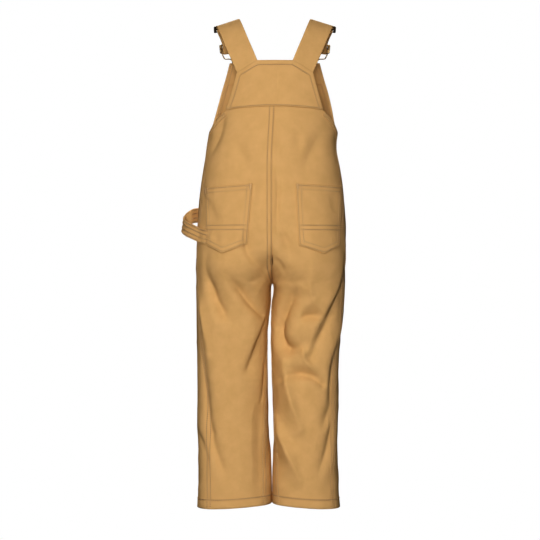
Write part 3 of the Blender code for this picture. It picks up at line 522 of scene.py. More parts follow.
    def place(self, side: Side, turn: Array, z: Array, lift: Array = 0.0) -> Array:
        """Places on the folded cloth, moved out by lift."""
        turn, z = np.broadcast_arrays(np.asarray(turn, float), np.asarray(z, float))
        base = self.point(side, turn, z)
        out = self.relief(side, turn, z, base) + lift
        return base + self.normal(side, turn, z) * np.asarray(out)[..., None]

    def armhole_turn(self, side: Side, z: Array, face: int) -> Array:
        """Turn of the armhole's edge at the given heights."""
        rows = sorted((row[2] * MM, row[1] * MM) for row in ARMHOLE_MM if row[0] == face)
        x = smooth(z, [row[0] for row in rows], [row[1] for row in rows])
        return self.turn_at(side, x, z, face)

    def inner_edge(self, side: Side, z: Array, face: int) -> Array:
        """Turn of the centre seam above the crotch and of the inseam below it."""
        inseam = face * np.pi - self.seam_turn("inseam", z)
        centre = self.turn_at(side, 0.0, z, face)
        return np.where(z > CROTCH, face * np.minimum(face * centre, face * inseam), inseam)

    def inset(self, side: Side, turn: Array, z: Array, inward: float) -> tuple[Array, Array]:
        """A path moved sideways on the form, to the left of its run for a positive distance.

        The move is solved from the form's two slopes, so it is true on any curvature.

        Args:
            side: Wearer's left or right.
            turn: Turns along the path.
            z: Heights along the path.
            inward: Distance to move, in metres.

        Returns:
            Turns and heights of the moved path.
        """
        step = 1e-4
        tangent = unit(np.gradient(self.point(side, turn, z), axis=0))
        across = np.cross(self.normal(side, turn, z), tangent)
        by_turn = (self.point(side, turn + step, z) - self.point(side, turn - step, z)) / (2 * step)
        by_z = (self.point(side, turn, z + step) - self.point(side, turn, z - step)) / (2 * step)
        move = np.einsum("nij,nj->ni", np.linalg.pinv(np.stack([by_turn, by_z], axis=-1)), across)
        return turn + inward * move[:, 0], z + inward * move[:, 1]


FORM = BodyForm()


# Meshes


def linked(obj: bpy.types.Object) -> bpy.types.Object:
    """The same object, linked to the scene."""
    bpy.context.scene.collection.objects.link(obj)
    return obj


def mark_points(obj: bpy.types.Object, name: str, values: Array) -> None:
    """Keep a number for each point, as an attribute that the shaders read."""
    attribute = obj.data.attributes.new(name, "FLOAT", "POINT")
    attribute.data.foreach_set("value", values.astype(np.float32))


def new_piece(
    name: str, points: Array, faces: Sequence[Array], uv: Array | None = None
) -> bpy.types.Object:
    """A smooth-shaded object from points and faces, its faces turned outwards.

    Args:
        name: The object's name.
        points: Corner points, n by 3.
        faces: Arrays of point numbers, each of triangles or of quads.
        uv: Cloth coordinates in metres for each point, for the weave.

    Returns:
        The new object, linked to the scene.
    """
    points = np.asarray(points, float)
    faces = [np.asarray(part, int) for part in faces if len(part)]
    volume = 0.0
    for part in faces:
        a = points[part[:, 0]]
        for i in range(1, part.shape[1] - 1):
            cross = np.cross(points[part[:, i]], points[part[:, i + 1]])
            volume += np.einsum("ij,ij->i", a, cross).sum()
    if volume < 0:
        faces = [part[:, ::-1] for part in faces]
    mesh = bpy.data.meshes.new(name)
    mesh.from_pydata(points.tolist(), [], [face for part in faces for face in part.tolist()])
    mesh.shade_smooth()
    if uv is not None:
        corner = np.concatenate([part.ravel() for part in faces])
        flat = np.asarray(uv, np.float32)[corner].ravel()
        mesh.uv_layers.new(name="Cloth").data.foreach_set("uv", flat)
    return linked(bpy.data.objects.new(name, mesh))


def quads(grid: Array) -> Array:
    """Four-cornered faces of a grid of point numbers."""
    low, high = grid[:-1], grid[1:]
    return np.stack([low[:, :-1], low[:, 1:], high[:, 1:], high[:, :-1]], axis=-1).reshape(-1, 4)


def cloth_uv(grid: Array) -> Array:
    """Distances in metres across and along a grid of points, measured from its middle."""
    across = np.cumsum(np.linalg.norm(np.diff(grid, axis=1, prepend=grid[:, :1]), axis=2), axis=1)
    along = np.cumsum(np.linalg.norm(np.diff(grid, axis=0, prepend=grid[:1]), axis=2), axis=0)
    across = across - across[:, across.shape[1] // 2][:, None]
    return np.stack([across, along.mean(axis=1)[:, None] + 0 * across], axis=-1)


def shell(
    name: str, outer: Array, inner: Array, marks: Array | None = None, turned: float = 0.45
) -> bpy.types.Object:
    """A thin closed shell between two grids, its rim rounded like a turned edge.

    The rim passes through points midway between the two faces, pushed out in the cloth's own plane.

    Args:
        name: The object's name.
        outer: Rows by columns of points on the face side.
        inner: The same for the back of the cloth.
        marks: Seam distance of each outer point, kept as the attribute Seam.
        turned: How far the rim stands out, as a share of the thickness.

    Returns:
        The new object.
    """
    rows, columns = outer.shape[:2]
    count = rows * columns
    index = np.arange(count).reshape(rows, columns)
    inside = np.pad(index[1:-1, 1:-1], 1, mode="edge")
    rim, neighbour = (
        np.concatenate([grid[0, :-1], grid[:-1, -1], grid[-1, :0:-1], grid[:0:-1, 0]])
        for grid in (index, inside)
    )
    flat_outer, flat_inner = outer.reshape(-1, 3), inner.reshape(-1, 3)
    middle = (flat_outer[rim] + flat_inner[rim]) / 2
    thick = np.linalg.norm(flat_outer[rim] - flat_inner[rim], axis=1, keepdims=True)
    away = unit(middle - (flat_outer[neighbour] + flat_inner[neighbour]) / 2)
    points = np.concatenate([flat_outer, flat_inner, middle + away * thick * turned])
    ahead = np.roll(rim, -1)
    mid = 2 * count + np.arange(len(rim))
    mid_ahead = np.roll(mid, -1)
    faces = np.concatenate([
        quads(index),
        quads(index)[:, ::-1] + count,
        np.stack([ahead, rim, mid, mid_ahead], axis=-1),
        np.stack([mid_ahead, mid, rim + count, ahead + count], axis=-1),
    ])
    flat = cloth_uv(outer).reshape(-1, 2)
    uv = np.concatenate([flat, flat, flat[rim]])
    obj = new_piece(name, points, [faces], uv)
    marks = np.full(count, UNSEWN) if marks is None else marks.ravel()
    mark_points(obj, "Seam", np.concatenate([marks, np.full(count, UNSEWN), marks[rim]]))
    return obj


class EdgeLine:
    """A sewn edge as a run of points, for distances to it."""

    def __init__(self, run: Array) -> None:
        """Keep the run, closely spaced, with the distance along it."""
        length = run_lengths(run)
        self.along = np.linspace(0, length[-1], max(int(length[-1] / LINE_PITCH), 2))
        self.points = read_line(self.along, length, run)

    def nearest(self, where: Array, limit: float = UNSEWN) -> tuple[Array, Array]:
        """Distance to the edge and how far along it that is, for each place.

        Args:
            where: Places, any shape by 3.
            limit: Distances beyond this are given as this.

        Returns:
            Distances and lengths along, shaped as where.
        """
        flat = where.reshape(-1, 3)
        far, along = np.full(len(flat), limit), np.zeros(len(flat))
        low, high = self.points.min(axis=0) - limit, self.points.max(axis=0) + limit
        keep = np.flatnonzero(np.all((flat > low) & (flat < high), axis=1))
        for part in np.array_split(keep, max(len(keep) // 4000, 1)):
            square = (
                (flat[part] ** 2).sum(1)[:, None]
                + (self.points**2).sum(1)[None, :]
                - 2 * flat[part] @ self.points.T
            )
            best = square.argmin(axis=1)
            start = self.points[best]
            ahead = self.points[np.minimum(best + 1, len(self.points) - 1)]
            behind = self.points[np.maximum(best - 1, 0)]
            distance = np.full(len(part), np.inf)
            for other in (ahead, behind):
                run, away = other - start, flat[part] - start
                t = np.clip((away * run).sum(1) / np.maximum((run**2).sum(1), 1e-12), 0, 1)
                distance = np.minimum(distance, np.linalg.norm(away - t[:, None] * run, axis=1))
            far[part] = np.minimum(distance, limit)
            along[part] = self.along[best]
        return far.reshape(where.shape[:-1]), along.reshape(where.shape[:-1])


PUCKER = Rumple(47)


def sewn_relief(gap: Array, along: Array, raised: float, band: float) -> Array:
    """Relief beside a sewn edge: a raised band of doubled cloth, and puckers that fade away from it.

    Args:
        gap: Distance to the edge.
        along: Distance along the edge.
        raised: How far the doubled band stands up.
        band: Width of the band.

    Returns:
        Height of the relief in metres.
    """
    step = raised * (1 - eased((gap - band) / BAND_STEP + 0.5))
    place = np.stack([along / PUCKER_SIZE[0], gap / PUCKER_SIZE[1], 0 * gap + 0.3], axis=-1)
    wave = PUCKER(place, (1, 1, 1)) * np.exp(-((gap / (band + PUCKER_REACH)) ** 2))
    return step + PUCKER_HEIGHT * wave


def sweep(name: str, rings: Array) -> bpy.types.Object:
    """A closed solid through rings of points, its ends closed with flat fans.

    Args:
        name: The object's name.
        rings: Rings by points by 3.

    Returns:
        The new object.
    """
    rows, columns = rings.shape[:2]
    index = np.arange(rows * columns).reshape(rows, columns)
    closed = np.concatenate([index, index[:, :1]], axis=1)
    points = np.concatenate([rings.reshape(-1, 3), rings[:1].mean(axis=1), rings[-1:].mean(axis=1)])
    ends = [
        np.stack([closed[0, 1:], closed[0, :-1], np.full(columns, rows * columns)], axis=-1),
        np.stack([closed[-1, :-1], closed[-1, 1:], np.full(columns, rows * columns + 1)], axis=-1),
    ]
    uv = cloth_uv(rings).reshape(-1, 2)
    uv = np.concatenate([uv, uv[:1], uv[-1:]])
    obj = new_piece(name, points, [quads(closed), *ends], uv)
    mark_points(obj, "Seam", np.full(len(points), UNSEWN))
    return obj


# Layers of cloth on the form


@dataclass(frozen=True)
class SewnEdge:
    """A sewn edge of a layer of cloth, given as a path on the form.

    inward says on which side of the path the cloth lies. The rows of stitches, the doubled band's
    width, how far it stands up and the lengths left bare at either end are in millimetres.
    """

    turn: Array
    z: Array
    inward: int
    rows: tuple[float, ...] = ()
    band: float = 9
    raised: float = 0.35
    trim: tuple[float, float] = (1, 1)


def seam_coordinate(gap: Array, rows: tuple[float, ...]) -> Array:
    """Distance to an edge, stretched so that its rows of stitches always lie at 2 and 8 mm.

    Args:
        gap: Distance to the edge.
        rows: Distances of its rows in millimetres; a single row lands at 8 mm.

    Returns:
        The stretched distance, or the mark of unsewn cloth where there are no rows.
    """
    if not rows:
        return np.full(gap.shape, UNSEWN)
    first, last = rows[0] * MM, rows[-1] * MM
    inside = LAST_MARK - (last - gap) * min(1, ONE_ROW_SPAN / last)
    if len(rows) > 1:
        between = FIRST_MARK + MARKS_APART * (gap - first) / (last - first)
        inside = np.where(gap < first, FIRST_MARK - first + gap, between)
    return np.where(gap > last, LAST_MARK + gap - last, inside)


class Layer:
    """A layer of cloth on one side of the form, with its sewn edges."""

    def __init__(
        self, side: Side, lift: float, edges: Sequence[SewnEdge], wall: float = 1.2 * MM
    ) -> None:
        """Keep the edges as lines on the form without folds."""
        self.side, self.lift, self.edges, self.wall = side, lift, list(edges), wall
        self.lines = [EdgeLine(FORM.point(side, edge.turn, edge.z)) for edge in edges]

    def face(self, turn: Array, z: Array, extra: Array = 0.0) -> tuple[Array, Array]:
        """The layer's outer face, with its folds, bands and puckers, and its seam coordinate.

        Args:
            turn: Turns of the places.
            z: Heights of the places.
            extra: Distance outside the face.

        Returns:
            Points, and the stretched distance to the nearest rows of stitches.
        """
        turn, z = np.broadcast_arrays(np.asarray(turn, float), np.asarray(z, float))
        base = FORM.point(self.side, turn, z)
        out = FORM.relief(self.side, turn, z, base) + self.lift + extra
        marks = np.full(turn.shape, UNSEWN)
        for edge, lines in zip(self.edges, self.lines):
            gap, along = lines.nearest(base)
            out = out + sewn_relief(gap, along, edge.raised * MM, edge.band * MM)
            marks = np.minimum(marks, seam_coordinate(gap, edge.rows))
        return base + FORM.normal(self.side, turn, z) * np.asarray(out)[..., None], marks

    def grids(self, turn: Array, z: Array) -> tuple[Array, Array, Array]:
        """Outer face, inner face and seam coordinate over a grid of places."""
        outer, marks = self.face(turn, z)
        inner = outer - FORM.normal(self.side, turn, z) * self.wall
        return outer, inner, marks

    def sew(self, thread: "Thread") -> None:
        """Put every edge's rows of stitches on the face."""
        for edge in self.edges:
            for row in edge.rows:
                turn, z = FORM.inset(self.side, edge.turn, edge.z, row * MM * edge.inward)
                points, _ = self.face(turn, z)
                thread.row(points, FORM.normal(self.side, turn, z), edge.trim)

    def piece(self, name: str, turn: Array, z: Array, thread: "Thread") -> bpy.types.Object:
        """The layer as one shell over a grid of places, its edges sewn."""
        self.sew(thread)
        return shell(name, *self.grids(turn, z))


class Thread:
    """Gathers rows of stitches and makes them as one piece of small capsules."""

    long, gap, radius = 3.0 * MM, 0.4 * MM, 0.42 * MM
    sides, flatness, twist = 5, 1.15, 0.05

    # A stitch's rings: place along it, thickness, height over the cloth, and 1 where it dips, which marks
    # the ends given painted shade
    rings = (
        (-0.5, 2.0, -1.0, 1), (-0.34, 2.1, -0.8, 1), (-0.27, 1.15, 0.3, 0),
        (0.27, 1.15, 0.3, 0), (0.34, 2.1, -0.8, 1), (0.5, 2.0, -1.0, 1),
    )

    def __init__(self, name: str) -> None:
        """Start with no stitches."""
        self.name = name
        self.middles: list[Array] = []
        self.alongs: list[Array] = []
        self.outs: list[Array] = []
        self.rng = np.random.default_rng(len(name) * 7 + 5)

    def row(self, points: Array, outs: Array, trim: tuple[float, float]) -> None:
        """One row of lockstitch along a path.

        Args:
            points: The path on the cloth's face.
            outs: Outward directions along the path.
            trim: Lengths left bare at either end, in millimetres.
        """
        length = run_lengths(points)
        bare = [part * MM for part in trim]
        count = int((length[-1] - sum(bare)) / (self.long + self.gap))
        if count < 1:
            return
        place = bare[0] + (np.arange(count) + 0.5) * (length[-1] - sum(bare)) / count
        start, end = (
            read_line(place + shift, length, points) for shift in (-self.long / 2, self.long / 2)
        )
        self.middles.append((start + end) / 2)
        self.alongs.append(unit(end - start))
        self.outs.append(unit(read_line(place, length, outs)))

    def bartack(self, middle: Array, along: Array, out: Array) -> None:
        """A dense bar of short crossing stitches.

        Args:
            middle: Middle of the bar.
            along: Direction of the bar.
            out: Outward direction.
        """
        count = int(BARTACK / BARTACK_PITCH)
        shift = np.linspace(-0.5, 0.5, count)[:, None] * BARTACK
        self.middles.append(middle + shift * unit(along) + out * 0.15 * MM)
        cross = unit(np.cross(out, along))
        self.alongs.append(np.repeat(cross[None], count, 0))
        self.outs.append(np.repeat(out[None], count, 0))

    def make(self) -> bpy.types.Object:
        """All stitches as one piece: each a capsule whose ends dip into the cloth."""
        middle, along, out = (np.concatenate(part) for part in (self.middles, self.alongs, self.outs))
        out = unit(out - (out * along).sum(1, keepdims=True) * along)
        side = np.cross(along, out)
        along = unit(along + side * self.rng.normal(0, self.twist, len(middle))[:, None])
        angle = np.arange(self.sides) * 2 * np.pi / self.sides
        points = []
        for share, thick, rise, _ in self.rings:
            for a in angle:
                points.append(
                    middle
                    + along * share * self.long
                    + side * np.cos(a) * thick * self.radius * self.flatness
                    + out * (np.sin(a) * thick * self.radius + rise * self.radius)
                )
        corners, count = len(points), len(middle)
        grid = np.arange(corners).reshape(-1, self.sides)
        around = quads(np.concatenate([grid, grid[:, :1]], axis=1))
        tips = np.stack([grid[0], grid[-1, ::-1]])
        start = (np.arange(count) * corners)[:, None, None]
        faces = [(part[None] + start).reshape(-1, part.shape[1]) for part in (around, tips)]
        LOG.info("%s: %d stitches", self.name, count)
        obj = new_piece(self.name, np.stack(points, axis=1).reshape(-1, 3), faces)
        # The dipping ends, marked for the painted shade that the thread's material gives them
        dips = np.repeat([float(ring[3]) for ring in self.rings], self.sides)
        mark_points(obj, "HoleShade", np.tile(dips, count))
        return obj


def rows_between(low: float, high: float, pitch: float) -> Array:
    """Even heights from low to high, at most pitch apart."""
    return np.linspace(low, high, max(int(np.ceil((high - low) / pitch)), 1) + 1)


def panel_heights(top: float, pitch: float) -> Array:
    """Heights of a panel's rows, close together just above the crotch where its edge turns sharply."""
    near = CROTCH + np.array(CROTCH_ROWS_MM) * MM
    legs = rows_between(HEM, near[0], pitch)
    seat = rows_between(near[-1], top, pitch)
    return np.concatenate([legs[:-1], near[:-1], seat])


def panel_edges(side: Side, face: int, top: float, hem: Array, inseam: dict) -> list[SewnEdge]:
    """Centre seam, inseam and hem of a panel of a leg.

    Args:
        side: Wearer's left or right.
        face: +1 at the back and -1 at the front.
        top: Height of the centre seam's upper end.
        hem: Turns along the hem.
        inseam: How the inseam is sewn.

    Returns:
        The three edges.
    """
    centre = rows_between(CROTCH, top, SEAM_PITCH)
    leg = rows_between(HEM, CROTCH, SEAM_PITCH)
    inward = face * side.value
    fell = FELL_ROWS if side is Side.LEFT else ()
    return [
        SewnEdge(FORM.inner_edge(side, centre, face), centre, inward, fell, raised=0.45 if fell else 0.0),
        SewnEdge(FORM.inner_edge(side, leg, face), leg, inward, **inseam),
        SewnEdge(hem, np.full(hem.shape, HEM), inward, (14.4,), band=15.4, raised=0.5),
    ]


def whole(halves: Sequence[tuple]) -> list[Array]:
    """The right and the left half of each grid, joined at the centre."""
    return [np.concatenate([right[:, :0:-1], left], axis=1) for right, left in zip(*halves)]


@dataclass
class BackPanel:
    """Back of one leg and half the seat, from the hem to under the yoke."""

    side: Side
    columns: int = 96
    pitch: float = 2.7 * MM
    blend_from: float = -190 * MM
    tuck: float = 4 * MM

    def top(self) -> tuple[Array, Array]:
        """Turns and heights of the top edge, which follows the yoke's seam."""
        corner_z = ARMHOLE_MM[3][2] * MM
        outer = FORM.armhole_turn(self.side, corner_z, 1)
        turn = np.linspace(outer, FORM.inner_edge(self.side, YOKE_SEAM_MM[0][1] * MM, 1), self.columns)
        seam = np.array(YOKE_SEAM_MM) * MM
        x = np.linspace(seam[-1, 0], 0, self.columns)
        for _ in range(3):
            z = smooth(x, seam[:, 0], seam[:, 1])
            x = np.abs(FORM.point(self.side, turn, z)[:, 0] - FORM.at("lean", z))
        return turn, smooth(x, seam[:, 0], seam[:, 1])

    def places(self) -> tuple[Array, Array]:
        """Turns and heights of the grid."""
        low = panel_heights(self.blend_from, self.pitch)
        turn_top, z_top = self.top()
        share = np.linspace(0, 1, 19)[1:, None]
        high = self.blend_from + share * (z_top[None, :] - self.blend_from)
        z = np.concatenate([np.repeat(low[:, None], self.columns, 1), high])
        armhole = FORM.armhole_turn(self.side, z[:, 0], 1)
        outer = np.where(z[:, 0] < ARMHOLE_MM[8][2] * MM, FORM.side_seam(self.side, z[:, 0]), armhole)
        inner = FORM.inner_edge(self.side, z[:, -1], 1)
        turn = outer[:, None] + np.linspace(0, 1, self.columns)[None, :] * (inner - outer)[:, None]
        turn[-1] = turn_top
        turn = np.concatenate([turn, turn_top[None]])
        return turn, np.concatenate([z, z_top[None] + self.tuck])

    def build(self, thread: Thread) -> bpy.types.Object:
        """The panel with its seams sewn."""
        side = self.side
        turn, z = self.places()
        legs = rows_between(HEM, SIDE_TOP, SEAM_PITCH)
        inseam = dict(rows=(), raised=0.15, band=6)
        layer = Layer(side, 0.0, [
            SewnEdge(FORM.side_seam(side, legs), legs, -side.value, TWIN_ROWS, raised=0.3),
            *panel_edges(side, 1, YOKE_SEAM_MM[0][1] * MM, turn[0], inseam),
        ])
        return layer.piece(f"back_panel_{side.word}_cloth", turn, z, thread)


@dataclass
class FrontPanel:
    """Front of one leg, from the hem to the waist seam."""

    side: Side
    columns: int = 112
    pitch: float = 3.2 * MM

    def build(self, thread: Thread) -> bpy.types.Object:
        """The panel with its seams sewn."""
        side = self.side
        heights = panel_heights(WAIST_SEAM, self.pitch)
        outer_turn = FORM.side_seam(side, heights)
        inner_turn = FORM.inner_edge(side, heights, -1)
        share = np.linspace(0, 1, self.columns)[None, :]
        turn = outer_turn[:, None] + share * (inner_turn - outer_turn)[:, None]
        z = np.repeat(heights[:, None], self.columns, 1)
        layer = Layer(side, 0.0, [
            SewnEdge(outer_turn, heights, side.value, (), raised=0.1, band=6),
            *panel_edges(side, -1, WAIST_SEAM, turn[0], dict(rows=TWIN_ROWS, raised=0.3)),
        ])
        return layer.piece(f"front_panel_{side.word}_cloth", turn, z, thread)


def yoke_top(x: Array) -> Array:
    """Height of the yoke's top edge: level between the straps, sloping along their sewn ends."""
    first = STRAP_MM[0]
    sloping = first[2] * MM - 0.6 * MM - first[3] * (np.abs(x) - first[0] * MM)
    return np.minimum(sloping, YOKE_TOP)


@dataclass
class Yoke:
    """The doubled yoke across the shoulders, lapped over the back panels."""

    columns: int = 84
    rows: int = 44
    level: float = 29 * MM
    lift: float = 1.25 * MM
    hollow: float = -0.6 * MM

    def half(self, side: Side) -> tuple[Array, Array]:
        """Turns and heights of one half, from the centre back to the armhole."""
        seam = np.array(YOKE_SEAM_MM) * MM
        corner = ARMHOLE_MM[0][1] * MM
        share = np.linspace(0, 1, self.columns)
        bottom_x = share * seam[-1, 0]
        top_x = np.interp(share, [0, self.level / corner, 1], [0, self.level, corner])
        seam_z = smooth(bottom_x, seam[:, 0], seam[:, 1])
        up = np.linspace(0, 1, self.rows)[:, None]
        bulge = np.sin(np.pi * up) * share[None, :] ** 3 * self.hollow
        x = bottom_x * (1 - up) + top_x * up + bulge
        z = seam_z * (1 - up) + yoke_top(top_x) * up
        return FORM.turn_at(side, x, z, 1), z

    def build(self, thread: Thread) -> bpy.types.Object:
        """The yoke with its edges sewn."""
        parts = []
        for side in (Side.RIGHT, Side.LEFT):
            turn, z = self.half(side)
            inward, share = side.value, np.linspace(0, 1, self.columns)
            flat = np.searchsorted(share, self.level / (ARMHOLE_MM[0][1] * MM))
            level, slope = np.s_[-1, :flat + 1], np.s_[-1, flat:]
            layer = Layer(side, self.lift, [
                SewnEdge(turn[0], z[0], -inward, (1.8,), raised=0.25, trim=(0, 1)),
                SewnEdge(turn[:, -1], z[:, -1], -inward, (6.8,), raised=0.3, band=7.6, trim=(2, 6)),
                SewnEdge(turn[level], z[level], inward, (6.8,), raised=0.3, band=7.6, trim=(0, 3)),
                SewnEdge(turn[slope], z[slope], inward, (6.6,), raised=0.3, band=7.4, trim=(1, 6)),
            ], wall=1.1 * MM)
            layer.sew(thread)
            parts.append(layer.grids(turn, z))
        return shell("back_yoke_cloth", *whole(parts))


@dataclass
class Bib:
    """The one-piece front above the waist, faced inside along its top."""

    columns: int = 64
    pitch: float = 2.6 * MM
    facing_from: float = -97 * MM
    facing_drop: float = -1.35 * MM
    facing_wall: float = 0.9 * MM
    facing_inset: float = 0.012
    armhole_foot: float = -180.5 * MM
    straight_to: float = -181.5 * MM

    def places(self, side: Side, heights: Array, inset: float = 0.0) -> tuple[Array, Array]:
        """Turns and heights of one half, from the centre front outwards.

        Args:
            side: Wearer's left or right.
            heights: Heights of the rows.
            inset: Share of the width left bare at the armhole.

        Returns:
            Turns and heights.
        """
        armhole = FORM.armhole_turn(side, heights, -1)
        outer = np.where(heights < self.armhole_foot, FORM.side_seam(side, heights), armhole)
        share = np.linspace(0, 1 - inset, self.columns)[None, :]
        turn = -np.pi / 2 + share * (outer + np.pi / 2)[:, None]
        return turn, np.repeat(heights[:, None], self.columns, 1)

    def build(self, thread: Thread) -> tuple[bpy.types.Object, bpy.types.Object]:
        """The bib and its facing."""
        heights = np.concatenate([
            rows_between(WAIST_SEAM, self.straight_to, self.pitch)[:-1],
            rows_between(self.straight_to, BIB_TOP, self.pitch),
        ])
        parts, facings = [], []
        for side in (Side.RIGHT, Side.LEFT):
            turn, z = self.places(side, heights)
            layer = Layer(side, 0.0, [
                SewnEdge(turn[-1], z[-1], -side.value, (1.6, 36), raised=0.2, band=4, trim=(0, 3)),
                SewnEdge(turn[0], z[0], side.value, (1.8, 7.8), raised=0.3, trim=(0, 2)),
            ])
            layer.sew(thread)
            parts.append(layer.grids(turn, z))
            inside = heights[heights > self.facing_from]
            turn, z = self.places(side, inside, self.facing_inset)
            outer, _ = layer.face(turn, z, self.facing_drop)
            facings.append((outer, outer - FORM.normal(side, turn, z) * self.facing_wall))
        return shell("front_bib_cloth", *whole(parts)), shell("bib_facing_cloth", *whole(facings))


@dataclass
class Pocket:
    """A patch pocket on the seat, its top turned down and its foot pointed."""

    side: Side
    columns: int = 56
    rows: int = 66
    puff: float = 1.0 * MM
    lift: float = 1.35 * MM
    cross_rows: tuple[float, float] = (-336 * MM, -343 * MM)
    bartack_column: int = 2
    bartack_rows: tuple[int, int, int] = (1, 3, 6)

    def places(self) -> tuple[Array, Array]:
        """Turns and heights of the grid, from the outer to the inner edge and from the top down."""
        corners = []
        for degrees, millimetres in POCKETS[self.side]:
            height = millimetres * MM
            point = FORM.point(self.side, np.radians(degrees), height)
            corners.append((abs(point[0] - FORM.at("lean", height)), height))
        outer_top, inner_top, inner_bottom, tip, outer_bottom = corners
        across, down = np.linspace(0, 1, self.columns), np.linspace(0, 1, self.rows)[:, None]
        grid = []
        for k in (0, 1):
            top = np.interp(across, [0, 1], [outer_top[k], inner_top[k]])
            foot = np.interp(across, [0, 0.5, 1], [outer_bottom[k], tip[k], inner_bottom[k]])
            grid.append(top * (1 - down) + foot * down)
        return FORM.turn_at(self.side, grid[0], grid[1], 1), grid[1]

    def build(self, thread: Thread) -> bpy.types.Object:
        """The pocket with its hem, its sewn edges, its two cross rows and its bartacks."""
        side, (turn, z) = self.side, self.places()
        middle, inward = self.columns // 2, side.value
        turned = SewnEdge(turn[0], z[0], -inward, (2.6, 8.8), raised=0.6, band=12, trim=(2, 2))
        sewn = (
            (np.s_[:, 0], inward, (2, 3)),
            (np.s_[:, -1], -inward, (2, 3)),
            (np.s_[-1, :middle + 1], inward, (3, 1)),
            (np.s_[-1, middle:], inward, (1, 3)),
        )
        layer = Layer(side, self.lift, [turned] + [
            SewnEdge(turn[at], z[at], way, (2.2, 8.3), raised=0.25, trim=trim) for at, way, trim in sewn
        ])
        layer.sew(thread)
        across, down = np.linspace(0, 1, self.columns), np.linspace(0, 1, self.rows)[:, None]
        puff = self.puff * (np.sin(np.pi * across) * np.sin(np.pi * down)) ** 0.7
        outer, marks = layer.face(turn, z, puff)
        inner = outer - FORM.normal(side, turn, z) * layer.wall
        i = np.arange(self.columns)
        for height in self.cross_rows:
            row = np.array([np.interp(-height, -z[:, k], np.arange(self.rows)) for k in i])
            low = np.clip(row.astype(int), 0, self.rows - 2)
            t = (row - low)[:, None]
            path = outer[low, i] * (1 - t) + outer[low + 1, i] * t
            thread.row(path, FORM.normal(side, turn[low, i], z[low, i]), (2, 2))
            marks = np.minimum(marks, LAST_MARK + np.abs(z - height))
        upper, at, lower = self.bartack_rows
        for column in (self.bartack_column, self.columns - 1 - self.bartack_column):
            down_edge = outer[lower, column] - outer[upper, column]
            out = FORM.normal(side, turn[at, column], z[at, column])
            thread.bartack(outer[at, column], down_edge, out)
        return shell(f"back_pocket_{side.word}_cloth", outer, inner, marks, 0.3)


@dataclass
class Binding:
    """The folded strip round an armhole's edge, from the yoke's corner to the top of the bib."""

    side: Side
    rows: int = 130
    back_rows: int = 36
    back_foot: float = -180.5 * MM
    front_foot: float = -178.5 * MM
    profile: tuple[tuple[float, float], ...] = (
        (7.0, 0.1), (7.1, 0.6), (6.7, 0.95), (5.8, 0.8), (4.0, 1.05), (2.2, 1.05), (1.2, 0.85), (0.4, 0.95),
        (-0.3, 0.7), (-0.7, 0.0), (-0.75, -0.7), (-0.5, -1.6), (0.2, -2.1), (1.2, -2.1), (2.4, -2.3),
        (4.6, -2.3), (5.8, -2.1), (6.8, -2.15), (7.1, -1.7), (7.0, -1.3), (4.0, -1.25), (0.5, -1.25),
        (0.25, -0.6), (0.5, 0.05), (4.0, 0.05),
    )

    def build(self, thread: Thread) -> bpy.types.Object:
        """The strip with its two rows of stitches, outside and inside."""
        side = self.side
        corner_z = ARMHOLE_MM[3][2] * MM
        back = np.linspace(corner_z - 3 * MM, self.back_foot, self.back_rows)
        front = np.linspace(self.front_foot, BIB_TOP - 0.3 * MM, self.rows - self.back_rows)
        turn = np.concatenate([FORM.armhole_turn(side, back, 1), FORM.armhole_turn(side, front, -1)])
        z = np.concatenate([back, front])
        layer = Layer(side, 0.0, [])
        rings = []
        for offset, lift in self.profile:
            at_turn, at_z = FORM.inset(side, turn, z, offset * MM * side.value)
            rings.append(layer.face(at_turn, at_z, lift * MM)[0])
        for offset in (1.2 * MM, 5.8 * MM):
            at_turn, at_z = FORM.inset(side, turn, z, offset * side.value)
            normal = FORM.normal(side, at_turn, at_z)
            for lift, out in ((0.8 * MM, normal), (-2.1 * MM, -normal)):
                thread.row(layer.face(at_turn, at_z, lift)[0], out, (1, 1))
        return sweep(f"armhole_binding_{side.word}_cloth", np.stack(rings, axis=1))


# Straps and brass

# A ribbon keeps its thickness up to its edges, by this power, and this share of it at the very edge
RIBBON_POWER = 26
RIBBON_EDGE = 0.42


class StrapCourse:
    """A strap's centre line as a function of distance, with its width and outward directions."""

    def __init__(self, side: Side) -> None:
        """Measure the table's points along the line."""
        self.side = side
        self.rows = dict(zip(STRAP_COLUMNS, np.array(STRAP_MM).T))
        self.points = np.stack([self.rows[k] for k in "xyz"], axis=-1) * MM
        self.length = run_lengths(self.points)

    def at_row(self, row: float) -> float:
        """Distance of a row of the table, which may be a fraction."""
        return float(np.interp(row, range(len(self.length)), self.length))

    def centre(self, distance: Array) -> tuple[Array, Array]:
        """Centre and width direction at these distances."""
        x, y, z = (smooth(distance, self.length, self.points[:, i]) for i in range(3))
        drop, sweep_back = (smooth(distance, self.length, self.rows[k]) for k in ("drop", "sweep"))
        centre = np.stack([FORM.at("lean", z) + self.side.value * x, y, z], axis=-1)
        width = unit(np.stack([self.side.value * np.ones_like(x), sweep_back, -drop], axis=-1))
        return centre, width

    def frame(self, distance: Array) -> tuple[Array, Array, Array, Array]:
        """Centre, width, forward and outward directions at these distances."""
        distance = np.asarray(distance, float)
        low, high = (np.clip(distance + d, 0, self.length[-1]) for d in (-0.5 * MM, 0.5 * MM))
        centre, width = self.centre(distance)
        forward = self.centre(high)[0] - self.centre(low)[0]
        forward = unit(forward - (forward * width).sum(-1, keepdims=True) * width)
        return centre, width, forward, unit(np.cross(forward, width)) * self.side.value


